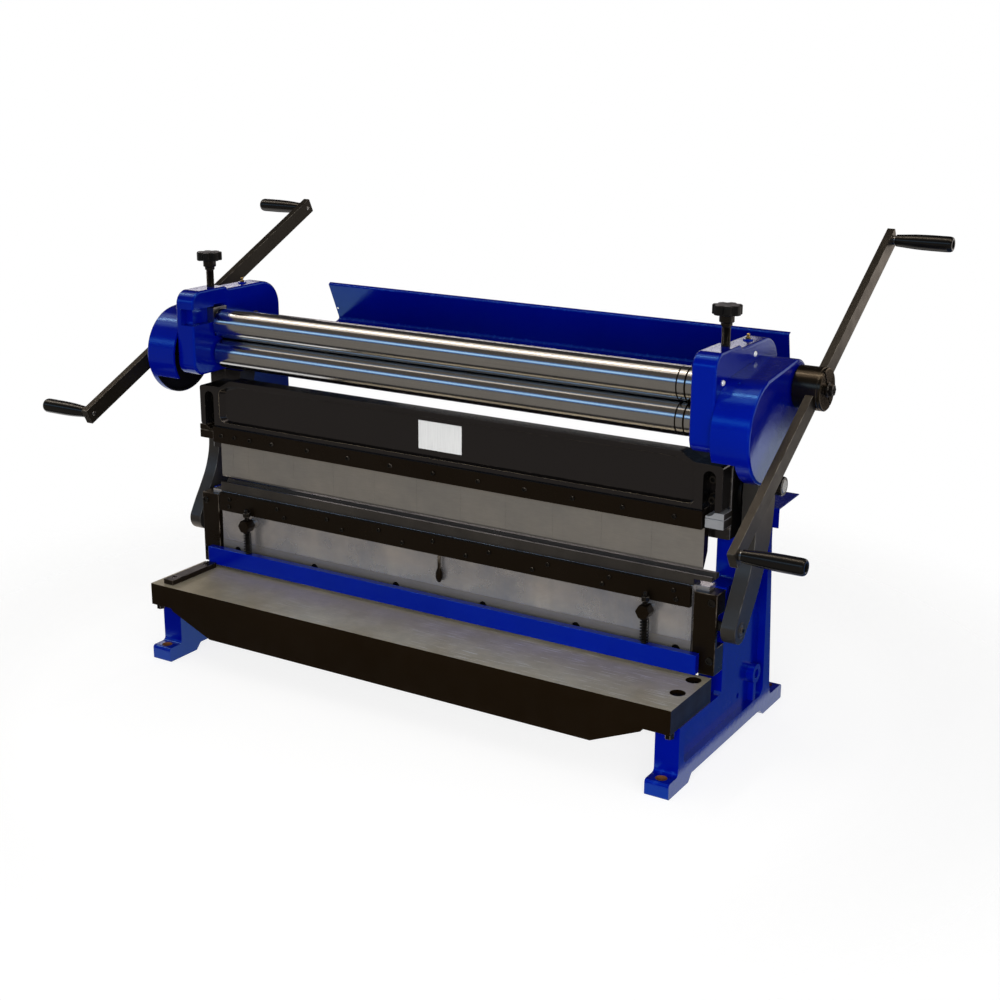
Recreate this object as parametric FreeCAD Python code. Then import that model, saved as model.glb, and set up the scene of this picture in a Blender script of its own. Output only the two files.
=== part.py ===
import FreeCAD, Part
import math
import os

# Bench machine with three tools: a foot shear, a finger brake and slip rolls.
# X runs along the rolls, Y runs from the front to the back, Z is up.
# The origin is on the floor, midway between the four foot bolt holes.
# All sizes are in millimetres.

# frames
FRAME_IN = 555.0
FRAME_OUT = 602.0
FRAME_THIN = 588.0
FOOT_HOLE_X = 579.0
FOOT_HOLE_Y = 241.0
FOOT_HOLE_R = 11.0
BOSS_Y = 124.0
BOSS_Z = 101.0
TIE_Y = 68.0
TIE_Z = 72.5

# table
TABLE_HALF = 600.0
TABLE_FRONT = -257.0
TABLE_BACK = -89.0
TABLE_TOP = 168.0
TABLE_END_T = 46.0

# rolls
ROLL_R = 31.0
ROLL_HALF = 554.0
ROLL_Y = -52.0
LOWER_Z = 630.0
UPPER_Z = 692.5
JOURNAL_R = 15.0
REAR_Y = 38.0
REAR_Z = 620.0
UPPER_LIFT = 3.0
REAR_LIFT = 20.0

# housings at the roll ends
HOUS_IN = 557.0
HOUS_OUT = 603.0
HOUS_BOTTOM = 592.0
HOUS_TOP = 761.0
HOUS_FRONT = -137.0
HOUS_BACK = 141.0

# gear covers, two arcs joined by tangents
COVER_Y = -59.3
COVER_Z = 628.2
COVER_R = 92.6
COVER_CRANK_R = 47.5
COVER_STEP_Z = 580.0
COVER_STEP_X = 645.0

# crank shaft, hubs and bars
CRANK_Y = 58.9
CRANK_Z = 686.9
CRANK_R = 12.5
HUB_R = 38.5
HUB_IN = 676.5
HUB_OUT = 729.0
BAR_IN = 702.5
BAR_OUT = 717.2
BAR_H = 33.0
BAR_HALF = 417.0
GRIP_HALF = 402.0
# each side: bar angle, bar centre beyond the shaft, extra distance outwards, outer end of the grips
RIGHT_BAR = (32.5, 9.0, 0.0, 830.0)
LEFT_BAR = (25.93, 27.5, 9.25, 848.0)

# eccentric shaft and links
PIN_Y = 28.0
PIN_Z = 510.0
THROW = 30.0
REST_DEG = 50.0
ECC_Y = PIN_Y + THROW * math.cos(math.radians(REST_DEG))
ECC_Z = PIN_Z - THROW * math.sin(math.radians(REST_DEG))
ECC_SHAFT_R = 20.0
CRANKPIN_R = 12.0
PIN_CLEARANCE = 1.6
RAM_PIN_Y = -60.0
RAM_PIN_Z = 259.0
RAM_PIN_R = 9.0
LINK_IN = 611.0
LINK_OUT = 640.0

# ram and brake tools
RAM_HALF = 552.0
RAM_FRONT = -80.0
RAM_BACK = -46.3
RAM_TOP = 333.0
RAM_BOTTOM = 196.0
DIE_TOP = 354.0
PUNCH_TIP_Z = 361.0
RUN_GAP = 0.3

# hold-down
BAR_BOTTOM = 174.0
BAR_TOP = 212.0
ROD_X = 468.0
ROD_Y = -99.0
EYE_Z = 274.0

os.makedirs("parts", exist_ok=True)


def save(name, shape):
    shape.exportStep("parts/" + name + ".step")


def vec(x, y, z):
    return FreeCAD.Vector(x, y, z)


def box(x0, x1, y0, y1, z0, z1):
    return Part.makeBox(x1 - x0, y1 - y0, z1 - z0, vec(x0, y0, z0))


def rod_x(y, z, r, x0, x1):
    return Part.makeCylinder(r, x1 - x0, vec(x0, y, z), vec(1, 0, 0))


def rod_y(x, z, r, y0, y1):
    return Part.makeCylinder(r, y1 - y0, vec(x, y0, z), vec(0, 1, 0))


def rod_z(x, y, r, z0, z1):
    return Part.makeCylinder(r, z1 - z0, vec(x, y, z0), vec(0, 0, 1))


def mirrored(shape):
    return shape.mirror(vec(0, 0, 0), vec(1, 0, 0))


def both(shape):
    return Part.makeCompound([shape, mirrored(shape)])


def joined(shapes):
    first = shapes[0]
    return first.multiFuse(shapes[1:]).removeSplitter() if len(shapes) > 1 else first


def place_yz(a, b):
    return vec(0, a, b)


def place_xz(a, b):
    return vec(a, 0, b)


def place_xy(a, b):
    return vec(a, b, 0)


def outline(points, place):
    """Closed face from (a, b, radius) corners, each corner rounded by its radius."""
    n = len(points)
    edges = []
    starts = []
    ends = []
    mids = []
    for i in range(n):
        pa = points[i - 1]
        pb = points[i]
        pc = points[(i + 1) % n]
        r = pb[2] if len(pb) > 2 else 0.0
        ua = FreeCAD.Vector(pa[0] - pb[0], pa[1] - pb[1], 0).normalize()
        uc = FreeCAD.Vector(pc[0] - pb[0], pc[1] - pb[1], 0).normalize()
        corner = FreeCAD.Vector(pb[0], pb[1], 0)
        if r <= 0:
            starts.append(corner)
            ends.append(corner)
            mids.append(None)
            continue
        half = ua.getAngle(uc) / 2.0
        run = r / math.tan(half)
        centre = corner + (ua + uc).normalize() * (r / math.sin(half))
        starts.append(corner + ua * run)
        ends.append(corner + uc * run)
        mids.append(centre + (corner - centre).normalize() * r)
    for i in range(n):
        s = place(starts[i].x, starts[i].y)
        e = place(ends[i].x, ends[i].y)
        if mids[i] is not None:
            m = place(mids[i].x, mids[i].y)
            edges.append(Part.Arc(s, m, e).toShape())
        nxt = starts[(i + 1) % n]
        q = place(nxt.x, nxt.y)
        if e.distanceToPoint(q) > 1e-6:
            edges.append(Part.makeLine(e, q))
    return Part.Face(Part.Wire(edges))


def plate_x(points, x0, x1):
    face = outline(points, place_yz)
    face.translate(vec(x0, 0, 0))
    return face.extrude(vec(x1 - x0, 0, 0))


def plate_y(points, y0, y1):
    face = outline(points, place_xz)
    face.translate(vec(0, y0, 0))
    return face.extrude(vec(0, y1 - y0, 0))


def plate_z(points, z0, z1):
    face = outline(points, place_xy)
    face.translate(vec(0, 0, z0))
    return face.extrude(vec(0, 0, z1 - z0))


def socket_screw_y(x, z, r, y0, y1):
    """Socket head with its axis along Y and the hexagon open to the front."""
    head = rod_y(x, z, r, y0, y1)
    return head.cut(hexagon_y(x, z, r * 0.55, y0 - 1, y0 + (y1 - y0) * 0.6))


def hexagon_y(x, z, r, y0, y1):
    pts = []
    for i in range(6):
        a = math.radians(60 * i)
        pts.append((x + r * math.cos(a), z + r * math.sin(a)))
    return plate_y(pts, y0, y1)


def hexagon_z(x, y, r, z0, z1):
    pts = []
    for i in range(6):
        a = math.radians(60 * i + 30)
        pts.append((x + r * math.cos(a), y + r * math.sin(a)))
    return plate_z(pts, z0, z1)


def side_frame():
    foot = [(-259, 0, 3), (-177, 0), (-164, 14, 4), (150, 14, 4), (168, 0), (261, 0, 3), (261, 30, 5)]
    rear = [(199, 30, 8), (194, 52, 10), (172, 293, 60), (165, 360, 60), (160, HOUS_BOTTOM)]
    front = [(13, HOUS_BOTTOM), (13, 327, 4), (-46, 327, 3), (-46, 122), (-222, 122), (-222, 30, 6)]
    body = plate_x(foot + rear + front + [(-259, 30, 5)], FRAME_IN, FRAME_OUT)
    pocket = plate_x([(-200, 46, 12), (160, 46, 16), (149, 402, 30), (36, 402, 20),
                      (12, 318, 20), (-26, 300, 16), (-30, 140, 34), (-70, 106, 20), (-200, 106, 12)],
                     FRAME_THIN, FRAME_OUT + 1)
    upper = box(FRAME_THIN, FRAME_OUT + 1, -60, 200, 417, HOUS_BOTTOM + 1)
    body = body.cut(joined([pocket, upper]))
    boss = rod_x(BOSS_Y, BOSS_Z, 19, FRAME_THIN - 1, FRAME_OUT)
    rib = box(FRAME_THIN - 1, FRAME_OUT - 3, BOSS_Y - 6, BOSS_Y + 6, 44, BOSS_Z)
    body = joined([body, boss, rib])
    cuts = [rod_x(BOSS_Y, BOSS_Z, 9, FRAME_IN - 1, FRAME_OUT + 1)]
    cuts.append(rod_x(TIE_Y, TIE_Z, 5.5, FRAME_IN - 1, FRAME_OUT + 1))
    cuts.append(rod_x(ECC_Y, ECC_Z, 25, FRAME_IN - 1, FRAME_OUT + 1))
    for y in (-FOOT_HOLE_Y, FOOT_HOLE_Y):
        cuts.append(rod_z(FOOT_HOLE_X, y, FOOT_HOLE_R, -1, 31))
    cuts.append(box(563, FRAME_THIN + 1, REAR_Y - 14, REAR_Y + 14, 545, HOUS_BOTTOM + 1))
    return body.cut(joined(cuts))


def end_bracket():
    pts = [(556, -44, 3), (FRAME_OUT, -44, 3), (FRAME_OUT, 100, 6), (FRAME_THIN + 0.3, 100),
           (FRAME_THIN + 0.3, 12.7), (556, 12.7)]
    body = plate_z(pts, 417, HOUS_BOTTOM)
    body = body.cut(rod_x(ECC_Y, ECC_Z, 25, 550, 610))
    return body.cut(rod_y(575, 530, 6, -50, 0)).cut(rod_y(575, 492, 6, -50, 0))


def table():
    slab = box(-TABLE_HALF, TABLE_HALF, TABLE_FRONT, TABLE_BACK, TABLE_TOP - TABLE_END_T, TABLE_TOP)
    low = TABLE_TOP - 94
    top = TABLE_TOP - 10
    apron = plate_y([(-543, 116), (-444, low), (444, low), (543, 116), (549, 124), (549, top),
                     (-549, top), (-549, 124)], TABLE_FRONT, TABLE_FRONT + 34)
    back_rib = plate_y([(-540, 116), (-470, 96), (470, 96), (540, 116), (540, top), (-540, top)],
                       TABLE_BACK - 30, TABLE_BACK)
    body = joined([slab, apron, back_rib])
    cuts = []
    for x in (-576, 576):
        for y in (-180, -114):
            cuts.append(rod_z(x, y, 14.4, TABLE_TOP - 14, TABLE_TOP + 1))
            cuts.append(rod_z(x, y, 7, 100, TABLE_TOP))
    return body.cut(joined(cuts))


def table_screws():
    parts = []
    for x in (-576, 576):
        for y in (-180, -114):
            head = rod_z(x, y, 10, TABLE_TOP - 14, TABLE_TOP - 5)
            head = head.cut(hexagon_z(x, y, 5.4, TABLE_TOP - 9, TABLE_TOP - 4))
            parts.append(head)
        parts.append(hexagon_z(x + math.copysign(15, x), -240, 9, 109, 121.9))
    return Part.makeCompound(parts)


def squaring_fence():
    body = box(-575, -550, -245, -108, TABLE_TOP, TABLE_TOP + 11)
    holes = []
    for y in (-225, -128):
        holes.append(rod_z(-562.5, y, 5, TABLE_TOP + 5, TABLE_TOP + 12))
    body = body.cut(joined(holes))
    edges = [e for e in body.Edges if abs(e.BoundBox.ZMin - TABLE_TOP - 11) < 0.1 and e.Length > 20]
    return body.makeChamfer(1.2, edges)


def lower_blade():
    pts = [(TABLE_BACK, 128), (RAM_FRONT - RUN_GAP, 128), (RAM_FRONT - RUN_GAP, TABLE_TOP),
           (TABLE_BACK, TABLE_TOP)]
    return plate_x(pts, -RAM_HALF, RAM_HALF)


def upper_beam():
    pts = [(-600, 476, 3), (600, 476, 3), (600, 560, 4), (545, 561, 10), (517, 577, 10),
           (-517, 577, 10), (-545, 561, 10), (-600, 560, 4)]
    body = plate_y(pts, -80, -44.2)
    rim = [(-548, 485, 14), (546, 485, 6), (546, 554, 6), (510, 567, 8), (-510, 567, 8), (-548, 554, 14)]
    floor = [(-539, 492, 10), (540, 492, 6), (540, 549, 6), (507, 560, 8), (-507, 560, 8), (-539, 549, 10)]
    wide = outline(rim, place_xz).OuterWire
    wide.translate(vec(0, -80.01, 0))
    deep = outline(floor, place_xz).OuterWire
    deep.translate(vec(0, -70, 0))
    body = body.cut(Part.makeLoft([wide, deep], True))
    cuts = []
    for x in (-575, 575):
        cuts.append(plate_y([(x - 12, 470), (x + 12, 470), (x + 12, 549, 11.9), (x - 12, 549, 11.9)],
                            -81, -43))
    return body.cut(joined(cuts))


def beam_bolts():
    parts = []
    for x in (-575, 575):
        for z in (530, 492):
            parts.append(socket_screw_y(x, z, 8, -66, -54))
            parts.append(rod_y(x, z, 11, -54, -44.2).cut(rod_y(x, z, 6, -55, -44)))
            parts.append(rod_y(x, z, 5.9, -54, -6))
    return Part.makeCompound(parts)


def beam_blocks():
    pts = [(569, 445, 2), (605, 445, 2), (605, 474.5), (587, 474.5), (583, 470, 2), (575, 466, 6),
           (569, 469)]
    body = plate_y(pts, -79, -44.3)
    groove = box(560, 610, -80, -77, 461, 463.5)
    return both(body.cut(groove))


def finger_clamp_bar():
    body = box(-563, 566, -86, -68.2, 441, 475.7)
    edges = [e for e in body.Edges if abs(e.BoundBox.YMax + 86) < 0.1 and e.Length > 20]
    return body.makeChamfer(1.5, edges)


CLAMP_SCREW_X = [-540, -504, -462, -404]
CLAMP_SCREW_X = CLAMP_SCREW_X + [513 - 103 * i for i in range(8, -1, -1)]


def clamp_screws():
    parts = []
    for x in CLAMP_SCREW_X:
        parts.append(rod_y(x, 458, 4.6, -89.5, -86))
    return Part.makeCompound(parts)


def finger_punches():
    """Removable fingers: a straight front face and a nose bevelled from behind."""
    edges = [-557.5, -524.5, -483.5, -442.5, -362.5]
    for i in range(9):
        edges.append(-362.5 + 103 * (i + 1))
    parts = []
    for a, b in zip(edges[:-1], edges[1:]):
        profile = [(-68, 475.7), (-68, 366, 3), (-65.5, PUNCH_TIP_Z, 0.8), (-60, 371, 3), (-50, 392, 12),
                   (-48, 475.7)]
        parts.append(plate_x(profile, a + 0.15, b - 0.15))
    return Part.makeCompound(parts)


def label_plate():
    return box(-46, 54, -71, -70, 499, 556)


def ram_guide():
    plate = box(557, FRAME_OUT, -85, -73, 170, 325)
    land = box(582.3, FRAME_OUT, -73, -46, 170, 325)
    body = joined([plate, land])
    body = body.cut(box(580, 610, -76, -40, 222, 284))
    edges = []
    for e in body.Edges:
        if abs(e.BoundBox.YMax + 85) < 0.1 and e.Length > 20:
            edges.append(e)
    return body.makeChamfer(2.0, edges)


def guide_screws():
    parts = []
    for x in (-592, 592):
        for z in (198, 309):
            parts.append(socket_screw_y(x, z, 8, -88, -85))
    return Part.makeCompound(parts)


def housing(left):
    pts = [(HOUS_FRONT, HOUS_BOTTOM, 26), (HOUS_FRONT, HOUS_TOP + 6, 28), (-33, HOUS_TOP + 6, 5),
           (-24, HOUS_TOP, 5), (HOUS_BACK, HOUS_TOP, 56), (HOUS_BACK, HOUS_BOTTOM, 8)]
    body = plate_x(pts, HOUS_IN, HOUS_OUT)
    rim = []
    for e in body.Edges:
        b = e.BoundBox
        if b.XLength < 0.1 and b.ZMin > HOUS_BOTTOM + 2:
            rim.append(e)
    body = body.makeChamfer(2.5, rim)
    boss = Part.makeCylinder(9, 3, vec(581, 48, HOUS_TOP - 0.5), vec(0, 0, 1))
    body = joined([body, boss])
    cuts = []
    cuts.append(rod_x(ROLL_Y, LOWER_Z, JOURNAL_R + 0.08, HOUS_IN - 1, HOUS_OUT + 1))
    cuts.append(rod_x(CRANK_Y, CRANK_Z, CRANK_R + 3, HOUS_IN - 1, HOUS_OUT + 1))
    cuts.append(box(HOUS_IN - 1, 597, ROLL_Y - 21, ROLL_Y + 21, 668, 734))
    cuts.append(rod_x(ROLL_Y, UPPER_Z, 14.5, 590, HOUS_OUT + 1))
    cuts.append(rod_x(ROLL_Y, UPPER_Z + UPPER_LIFT, 14.5, 590, HOUS_OUT + 1))
    cuts.append(box(590, HOUS_OUT + 1, ROLL_Y - 14.5, ROLL_Y + 14.5, UPPER_Z, UPPER_Z + UPPER_LIFT))
    cuts.append(box(HOUS_IN - 1, HOUS_OUT + 1, REAR_Y - 20.3, REAR_Y + 20.3, 597, 668))
    cuts.append(rod_z(581.5, ROLL_Y, 8.1, 730, 780))
    cuts.append(rod_z(577, REAR_Y, 6.1, 590, 600))
    cuts.append(rod_z(581, 48, 3.05, HOUS_TOP - 6, HOUS_TOP + 4))
    if left:
        cuts.append(plate_x([(HOUS_FRONT - 6, 697), (-118, 697, 5), (-118, 731, 8), (HOUS_FRONT - 6, 731)],
                            HOUS_IN - 1, HOUS_OUT - 12))
        cuts.append(box(HOUS_IN - 1, HOUS_IN + 18, -124, ROLL_Y - 20.5, 697.5, 730.5))
    for tool in cuts:
        body = body.cut(tool)
    return mirrored(body) if left else body


def cover_body(outer):
    """Outline of two arcs, round the lower roll and the crank shaft, with tangents."""
    dy = CRANK_Y - COVER_Y
    dz = CRANK_Z - COVER_Z
    line = math.atan2(dz, dy)
    lean = math.acos((COVER_R - COVER_CRANK_R) / math.hypot(dy, dz))

    def big(a):
        return vec(HOUS_OUT, COVER_Y + COVER_R * math.cos(a), COVER_Z + COVER_R * math.sin(a))

    def small(a):
        return vec(HOUS_OUT, CRANK_Y + COVER_CRANK_R * math.cos(a), CRANK_Z + COVER_CRANK_R * math.sin(a))

    top = line + lean
    low = line - lean
    edges = [Part.makeLine(big(top), small(top)),
             Part.Arc(small(top), small(line), small(low)).toShape(),
             Part.makeLine(small(low), big(low)),
             Part.Arc(big(low), big(line + math.pi), big(top)).toShape()]
    face = Part.Face(Part.Wire(edges))
    body = face.extrude(vec(outer - HOUS_OUT, 0, 0))
    rim = []
    for e in body.Edges:
        b = e.BoundBox
        if b.XLength < 0.1 and abs(b.XMin - outer) < 0.1:
            rim.append(e)
    return body.makeChamfer(0.8, rim)


def gear_cover(outer):
    body = cover_body(outer)
    cuts = [rod_x(CRANK_Y, CRANK_Z, CRANK_R + 1.5, 600, 680)]
    cuts.append(rod_x(ROLL_Y, LOWER_Z, JOURNAL_R + 2, HOUS_OUT - 1, 612))
    cuts.append(box(HOUS_OUT - 1, COVER_STEP_X, -160, 100, 520, COVER_STEP_Z))
    cuts.append(Part.makeCylinder(2.6, 16, vec(627, -88.4, 702.7), vec(0, -0.364, 0.931)))
    return body.cut(joined(cuts))


def cover_screws():
    parts = []
    for y, z in ((-106, 714.5), (30, 741.5)):
        parts.append(rod_x(y, z, 5.2, HOUS_OUT, HOUS_OUT + 4))
    return both(Part.makeCompound(parts))


def grease_nipples():
    base = hexagon_z(581, 48, 4.6, HOUS_TOP + 2.5, HOUS_TOP + 5.5)
    neck = rod_z(581, 48, 2.4, HOUS_TOP + 5.5, HOUS_TOP + 8)
    ball = Part.makeCone(3.4, 2.2, 4, vec(581, 48, HOUS_TOP + 8), vec(0, 0, 1))
    stem = rod_z(581, 48, 3.0, HOUS_TOP - 5, HOUS_TOP + 2.5)
    return both(joined([base, neck, ball, stem]))


def rear_chute():
    """Bent sheet that catches the work behind the rolls, with raked ends."""
    pts = [(163.2, 540), (163.2, 571.5, 6), (349, 641.5, 8), (317, 724.6, 2), (322.6, 727.6), (321.8, 729.2),
           (314.6, 725.4, 3), (346.4, 642.6, 6), (161.2, 573, 8), (161.2, 540)]
    body = plate_x(pts, -560, 560)
    end = plate_y([(549.5, 530), (549.5, 641.5), (555.4, 732), (570, 732), (570, 530)], 150, 360)
    cuts = [end, mirrored(end)]
    for x in (-547, 547):
        cuts.append(Part.makeCylinder(2.5, 60, vec(x, 310, 656.5), vec(0, 0.93, 0.36)))
    return body.cut(joined(cuts))


def rear_shelf():
    pts = [(169.8, 383), (169.8, 420, 3), (269.2, 424), (269.2, 426), (168, 422, 3), (168, 383)]
    body = plate_x(pts, -612, 612)
    pads = box(FRAME_IN + 4, FRAME_OUT - 4, 164.5, 168.2, 386, 416)
    return joined([body, pads, mirrored(pads)])


def tie_bars():
    lower = rod_x(BOSS_Y, BOSS_Z, 17, -FRAME_IN, FRAME_IN)
    web = rod_x(TIE_Y, TIE_Z, 12, -FRAME_IN, FRAME_IN)
    bolts = []
    for y, z, r in ((BOSS_Y, BOSS_Z, 8.9), (TIE_Y, TIE_Z, 5.4)):
        bolts.append(rod_x(y, z, r, FRAME_IN, FRAME_IN + 12))
    side = Part.makeCompound(bolts)
    return Part.makeCompound([lower, web, side, mirrored(side)])


def shaft_bushes():
    crank = rod_x(CRANK_Y, CRANK_Z, CRANK_R + 3, HOUS_IN, HOUS_OUT)
    crank = crank.cut(rod_x(CRANK_Y, CRANK_Z, CRANK_R + 0.05, HOUS_IN - 1, HOUS_OUT + 1))
    ecc = rod_x(ECC_Y, ECC_Z, 25, FRAME_IN, FRAME_OUT - 2)
    ecc = ecc.cut(rod_x(ECC_Y, ECC_Z, ECC_SHAFT_R + 0.05, FRAME_IN - 1, FRAME_OUT + 1))
    return both(Part.makeCompound([crank, ecc]))


def ram_plate():
    body = box(-RAM_HALF, RAM_HALF, RAM_FRONT, RAM_BACK, RAM_BOTTOM, RAM_TOP)
    body = body.cut(box(-RAM_HALF - 1, RAM_HALF + 1, RAM_FRONT - 1, -62, RAM_BOTTOM - 1, 226))
    tongue = box(RAM_HALF, 581, -72.7, RAM_BACK, RAM_BOTTOM, 322)
    pin_hole = rod_x(RAM_PIN_Y, RAM_PIN_Z, RAM_PIN_R, 540, 600)
    body = joined([body, tongue, mirrored(tongue)])
    holes = []
    for x in (-ROD_X, ROD_X):
        holes.append(rod_y(x, EYE_Z, 6, RAM_FRONT - 1, RAM_FRONT + 14))
    return body.cut(joined([pin_hole, mirrored(pin_hole)] + holes))


def v_die():
    pts = [(-80, RAM_TOP), (-50, RAM_TOP), (-50, DIE_TOP), (-57, DIE_TOP), (-65.5, 343), (-74, DIE_TOP),
           (-80, DIE_TOP)]
    body = plate_x(pts, -RAM_HALF, 588)
    return body.cut(box(RAM_HALF + 1, 600, -90, -40, 320, 345.5))


def die_clamp_bar():
    body = box(-550, RAM_HALF, -90, RAM_FRONT, 293, 333)
    edges = [e for e in body.Edges if abs(e.BoundBox.YMax + 90) < 0.1 and e.Length > 20]
    return body.makeChamfer(1.5, edges)


def ram_screws():
    parts = []
    for i in range(9):
        parts.append(rod_y(-521 + 130 * i, 321, 4.6, -93, -90))
    for i in range(8):
        parts.append(rod_y(-523 + 149.7 * i, 305, 4.6, -93, -90))
    for i in range(6):
        head = rod_y(-512 + 207 * i, 205, 8, RAM_FRONT + 0.6, RAM_FRONT + 8)
        parts.append(head.cut(hexagon_y(-512 + 207 * i, 205, 4.5, RAM_FRONT, RAM_FRONT + 5)))
    return Part.makeCompound(parts)


def upper_blade():
    """Blade with a raked cutting edge, recessed for its screws."""
    face = [(-RAM_HALF, 174), (RAM_HALF, 182), (RAM_HALF, 226), (-RAM_HALF, 226)]
    body = plate_y(face, RAM_FRONT, -62)
    holes = []
    for i in range(6):
        holes.append(rod_y(-512 + 207 * i, 205, 9, RAM_FRONT - 1, RAM_FRONT + 8))
    return body.cut(joined(holes))


def spring_eyes():
    parts = []
    for x in (-ROD_X, ROD_X):
        stud = rod_y(x, EYE_Z, 9.5, -88, RAM_FRONT)
        tail = rod_y(x, EYE_Z, 6, RAM_FRONT, RAM_FRONT + 14)
        head = hexagon_y(x, EYE_Z, 14.5, -112, -88)
        hole = rod_z(x, ROD_Y, 5.6, EYE_Z - 30, EYE_Z + 30)
        parts.append(joined([stud, tail, head]).cut(hole))
    return Part.makeCompound(parts)


def centre_stud():
    """Stud with a waisted knob that hangs from the die clamp bar."""
    rod = rod_z(12, -87.3, 3.2, 267, 293)
    cap = Part.makeCone(7.1, 3.2, 12, vec(12, -87.3, 256), vec(0, 0, 1))
    middle = rod_z(12, -87.3, 7.1, 247, 256)
    tip = Part.makeCone(7.1, 3.4, 9, vec(12, -87.3, 247), vec(0, 0, -1))
    return joined([rod, cap, middle, tip])


def ram_pins():
    pin = rod_x(RAM_PIN_Y, RAM_PIN_Z, RAM_PIN_R, 545, LINK_OUT - 3)
    washer = rod_x(RAM_PIN_Y, RAM_PIN_Z, 14, LINK_OUT - 3, LINK_OUT + 0.8)
    ring = washer.cut(rod_x(RAM_PIN_Y, RAM_PIN_Z, 11.6, LINK_OUT, LINK_OUT + 2))
    disc = rod_x(RAM_PIN_Y, RAM_PIN_Z, 10.6, LINK_OUT - 1, LINK_OUT + 0.8)
    screw = rod_x(RAM_PIN_Y, RAM_PIN_Z, 5.5, LINK_OUT, LINK_OUT + 5)
    side = joined([pin, ring, disc, screw])
    return both(side)


def hold_down_bar():
    body = box(-573, 575, -107, -91, BAR_BOTTOM, BAR_TOP)
    edges = []
    for e in body.Edges:
        if e.Length > 500:
            edges.append(e)
    body = body.makeChamfer(1.5, edges)
    holes = [rod_z(x, ROD_Y, 5, BAR_TOP - 20, BAR_TOP + 1) for x in (-ROD_X, ROD_X)]
    return body.cut(joined(holes))


def hold_down_rods():
    parts = []
    for x in (-ROD_X, ROD_X):
        stem = rod_z(x, ROD_Y, 5, BAR_TOP - 20, 310)
        nut = hexagon_z(x, ROD_Y, 8.5, 293, 303)
        parts.append(joined([stem, nut]))
    return Part.makeCompound(parts)


def spring(x):
    low = BAR_TOP + 0.2
    high = EYE_Z - 12.9
    side = 2.2
    turns = 7
    rise = high - low - side
    helix = Part.makeHelix(rise / turns, rise, 7.6)
    s = side / 2
    ring = Part.makePolygon([vec(7.6 - s, 0, -s), vec(7.6 + s, 0, -s), vec(7.6 + s, 0, s),
                             vec(7.6 - s, 0, s), vec(7.6 - s, 0, -s)])
    coil = Part.Wire(helix).makePipeShell([ring], True, True)
    coil.translate(vec(x, ROD_Y, low + s))
    return coil


def link():
    """Curved connecting link between the ram pin and the crank pin."""
    boss_r = 26.4
    head_r = 42.0
    a1 = vec(0, -84.0, 270.0)
    b1 = vec(0, PIN_Y - head_r, PIN_Z)
    b2 = vec(0, PIN_Y + head_r, PIN_Z)
    a2 = vec(0, -37.0, 246.5)
    front = Part.BSplineCurve()
    front.interpolate([a1, vec(0, -67, 299), vec(0, -47, 330), vec(0, -29, 362), vec(0, -17, 400),
                       vec(0, -14.4, 440), b1])
    rear = Part.BSplineCurve()
    rear.interpolate([b2, vec(0, 69.6, 465), vec(0, 63, 418), vec(0, 48, 375), vec(0, 27, 333),
                      vec(0, 1, 293), vec(0, -21, 266), a2])
    over = Part.Arc(b1, vec(0, PIN_Y, PIN_Z + head_r), b2).toShape()
    low = vec(0, RAM_PIN_Y, RAM_PIN_Z) + vec(0, -0.62, -0.785) * boss_r
    under = Part.Arc(a2, low, a1).toShape()
    face = Part.Face(Part.Wire([front.toShape(), over, rear.toShape(), under]))
    face.translate(vec(LINK_IN, 0, 0))
    body = face.extrude(vec(LINK_OUT - LINK_IN, 0, 0))
    cuts = [rod_x(PIN_Y, PIN_Z, CRANKPIN_R + PIN_CLEARANCE, 600, 650)]
    cuts.append(rod_x(RAM_PIN_Y, RAM_PIN_Z, RAM_PIN_R + 0.08, 600, 650))
    cuts.append(rod_x(RAM_PIN_Y, RAM_PIN_Z, 14.4, LINK_OUT - 3.4, 650))
    return body.cut(joined(cuts))


def eccentric_shaft():
    shaft = rod_x(ECC_Y, ECC_Z, ECC_SHAFT_R, -FRAME_OUT - 1, FRAME_OUT + 1)
    disc = rod_x(ECC_Y, ECC_Z, 44, FRAME_OUT + 0.8, 610)
    pin = rod_x(PIN_Y, PIN_Z, CRANKPIN_R, 609, 672.8)
    end = joined([disc, pin])
    return joined([shaft, end, mirrored(end)])


def shaft_collars():
    body = rod_x(PIN_Y, PIN_Z, 17.5, LINK_OUT + 1, 672)
    rim = [e for e in body.Edges if abs(e.BoundBox.XMin - 672) < 0.1 and e.BoundBox.XLength < 0.1]
    body = body.makeChamfer(1.5, rim)
    return both(body.cut(rod_x(PIN_Y, PIN_Z, CRANKPIN_R, 600, 680)))


def crank_shaft():
    return rod_x(CRANK_Y, CRANK_Z, CRANK_R, -HUB_OUT - LEFT_BAR[2] + 4, HUB_OUT - 4)


def turned_bar(deg, x0, x1, half, low, high):
    body = Part.makeBox(x1 - x0, low + high, 2 * half, vec(x0, -low, -half))
    body.rotate(vec(0, 0, 0), vec(1, 0, 0), deg)
    body.translate(vec(0, CRANK_Y, CRANK_Z))
    return body


def crank_bar(side):
    deg, shift, out, end = side
    body = turned_bar(deg, BAR_IN + out, BAR_OUT + out, BAR_H / 2, BAR_HALF - shift, BAR_HALF + shift)
    long_edges = [e for e in body.Edges if e.Length > 200]
    body = body.makeChamfer(1.0, long_edges)
    cuts = [rod_x(CRANK_Y, CRANK_Z, CRANK_R, BAR_IN, BAR_OUT + 20)]
    for sign in (-1, 1):
        y, z = grip_axis(side, sign)
        cuts.append(rod_x(y, z, 4.5, BAR_IN - 1, BAR_OUT + 20))
    return body.cut(joined(cuts))


def grip_axis(side, sign):
    a = math.radians(side[0])
    reach = side[1] + sign * GRIP_HALF
    return CRANK_Y + reach * math.cos(a), CRANK_Z + reach * math.sin(a)


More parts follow.
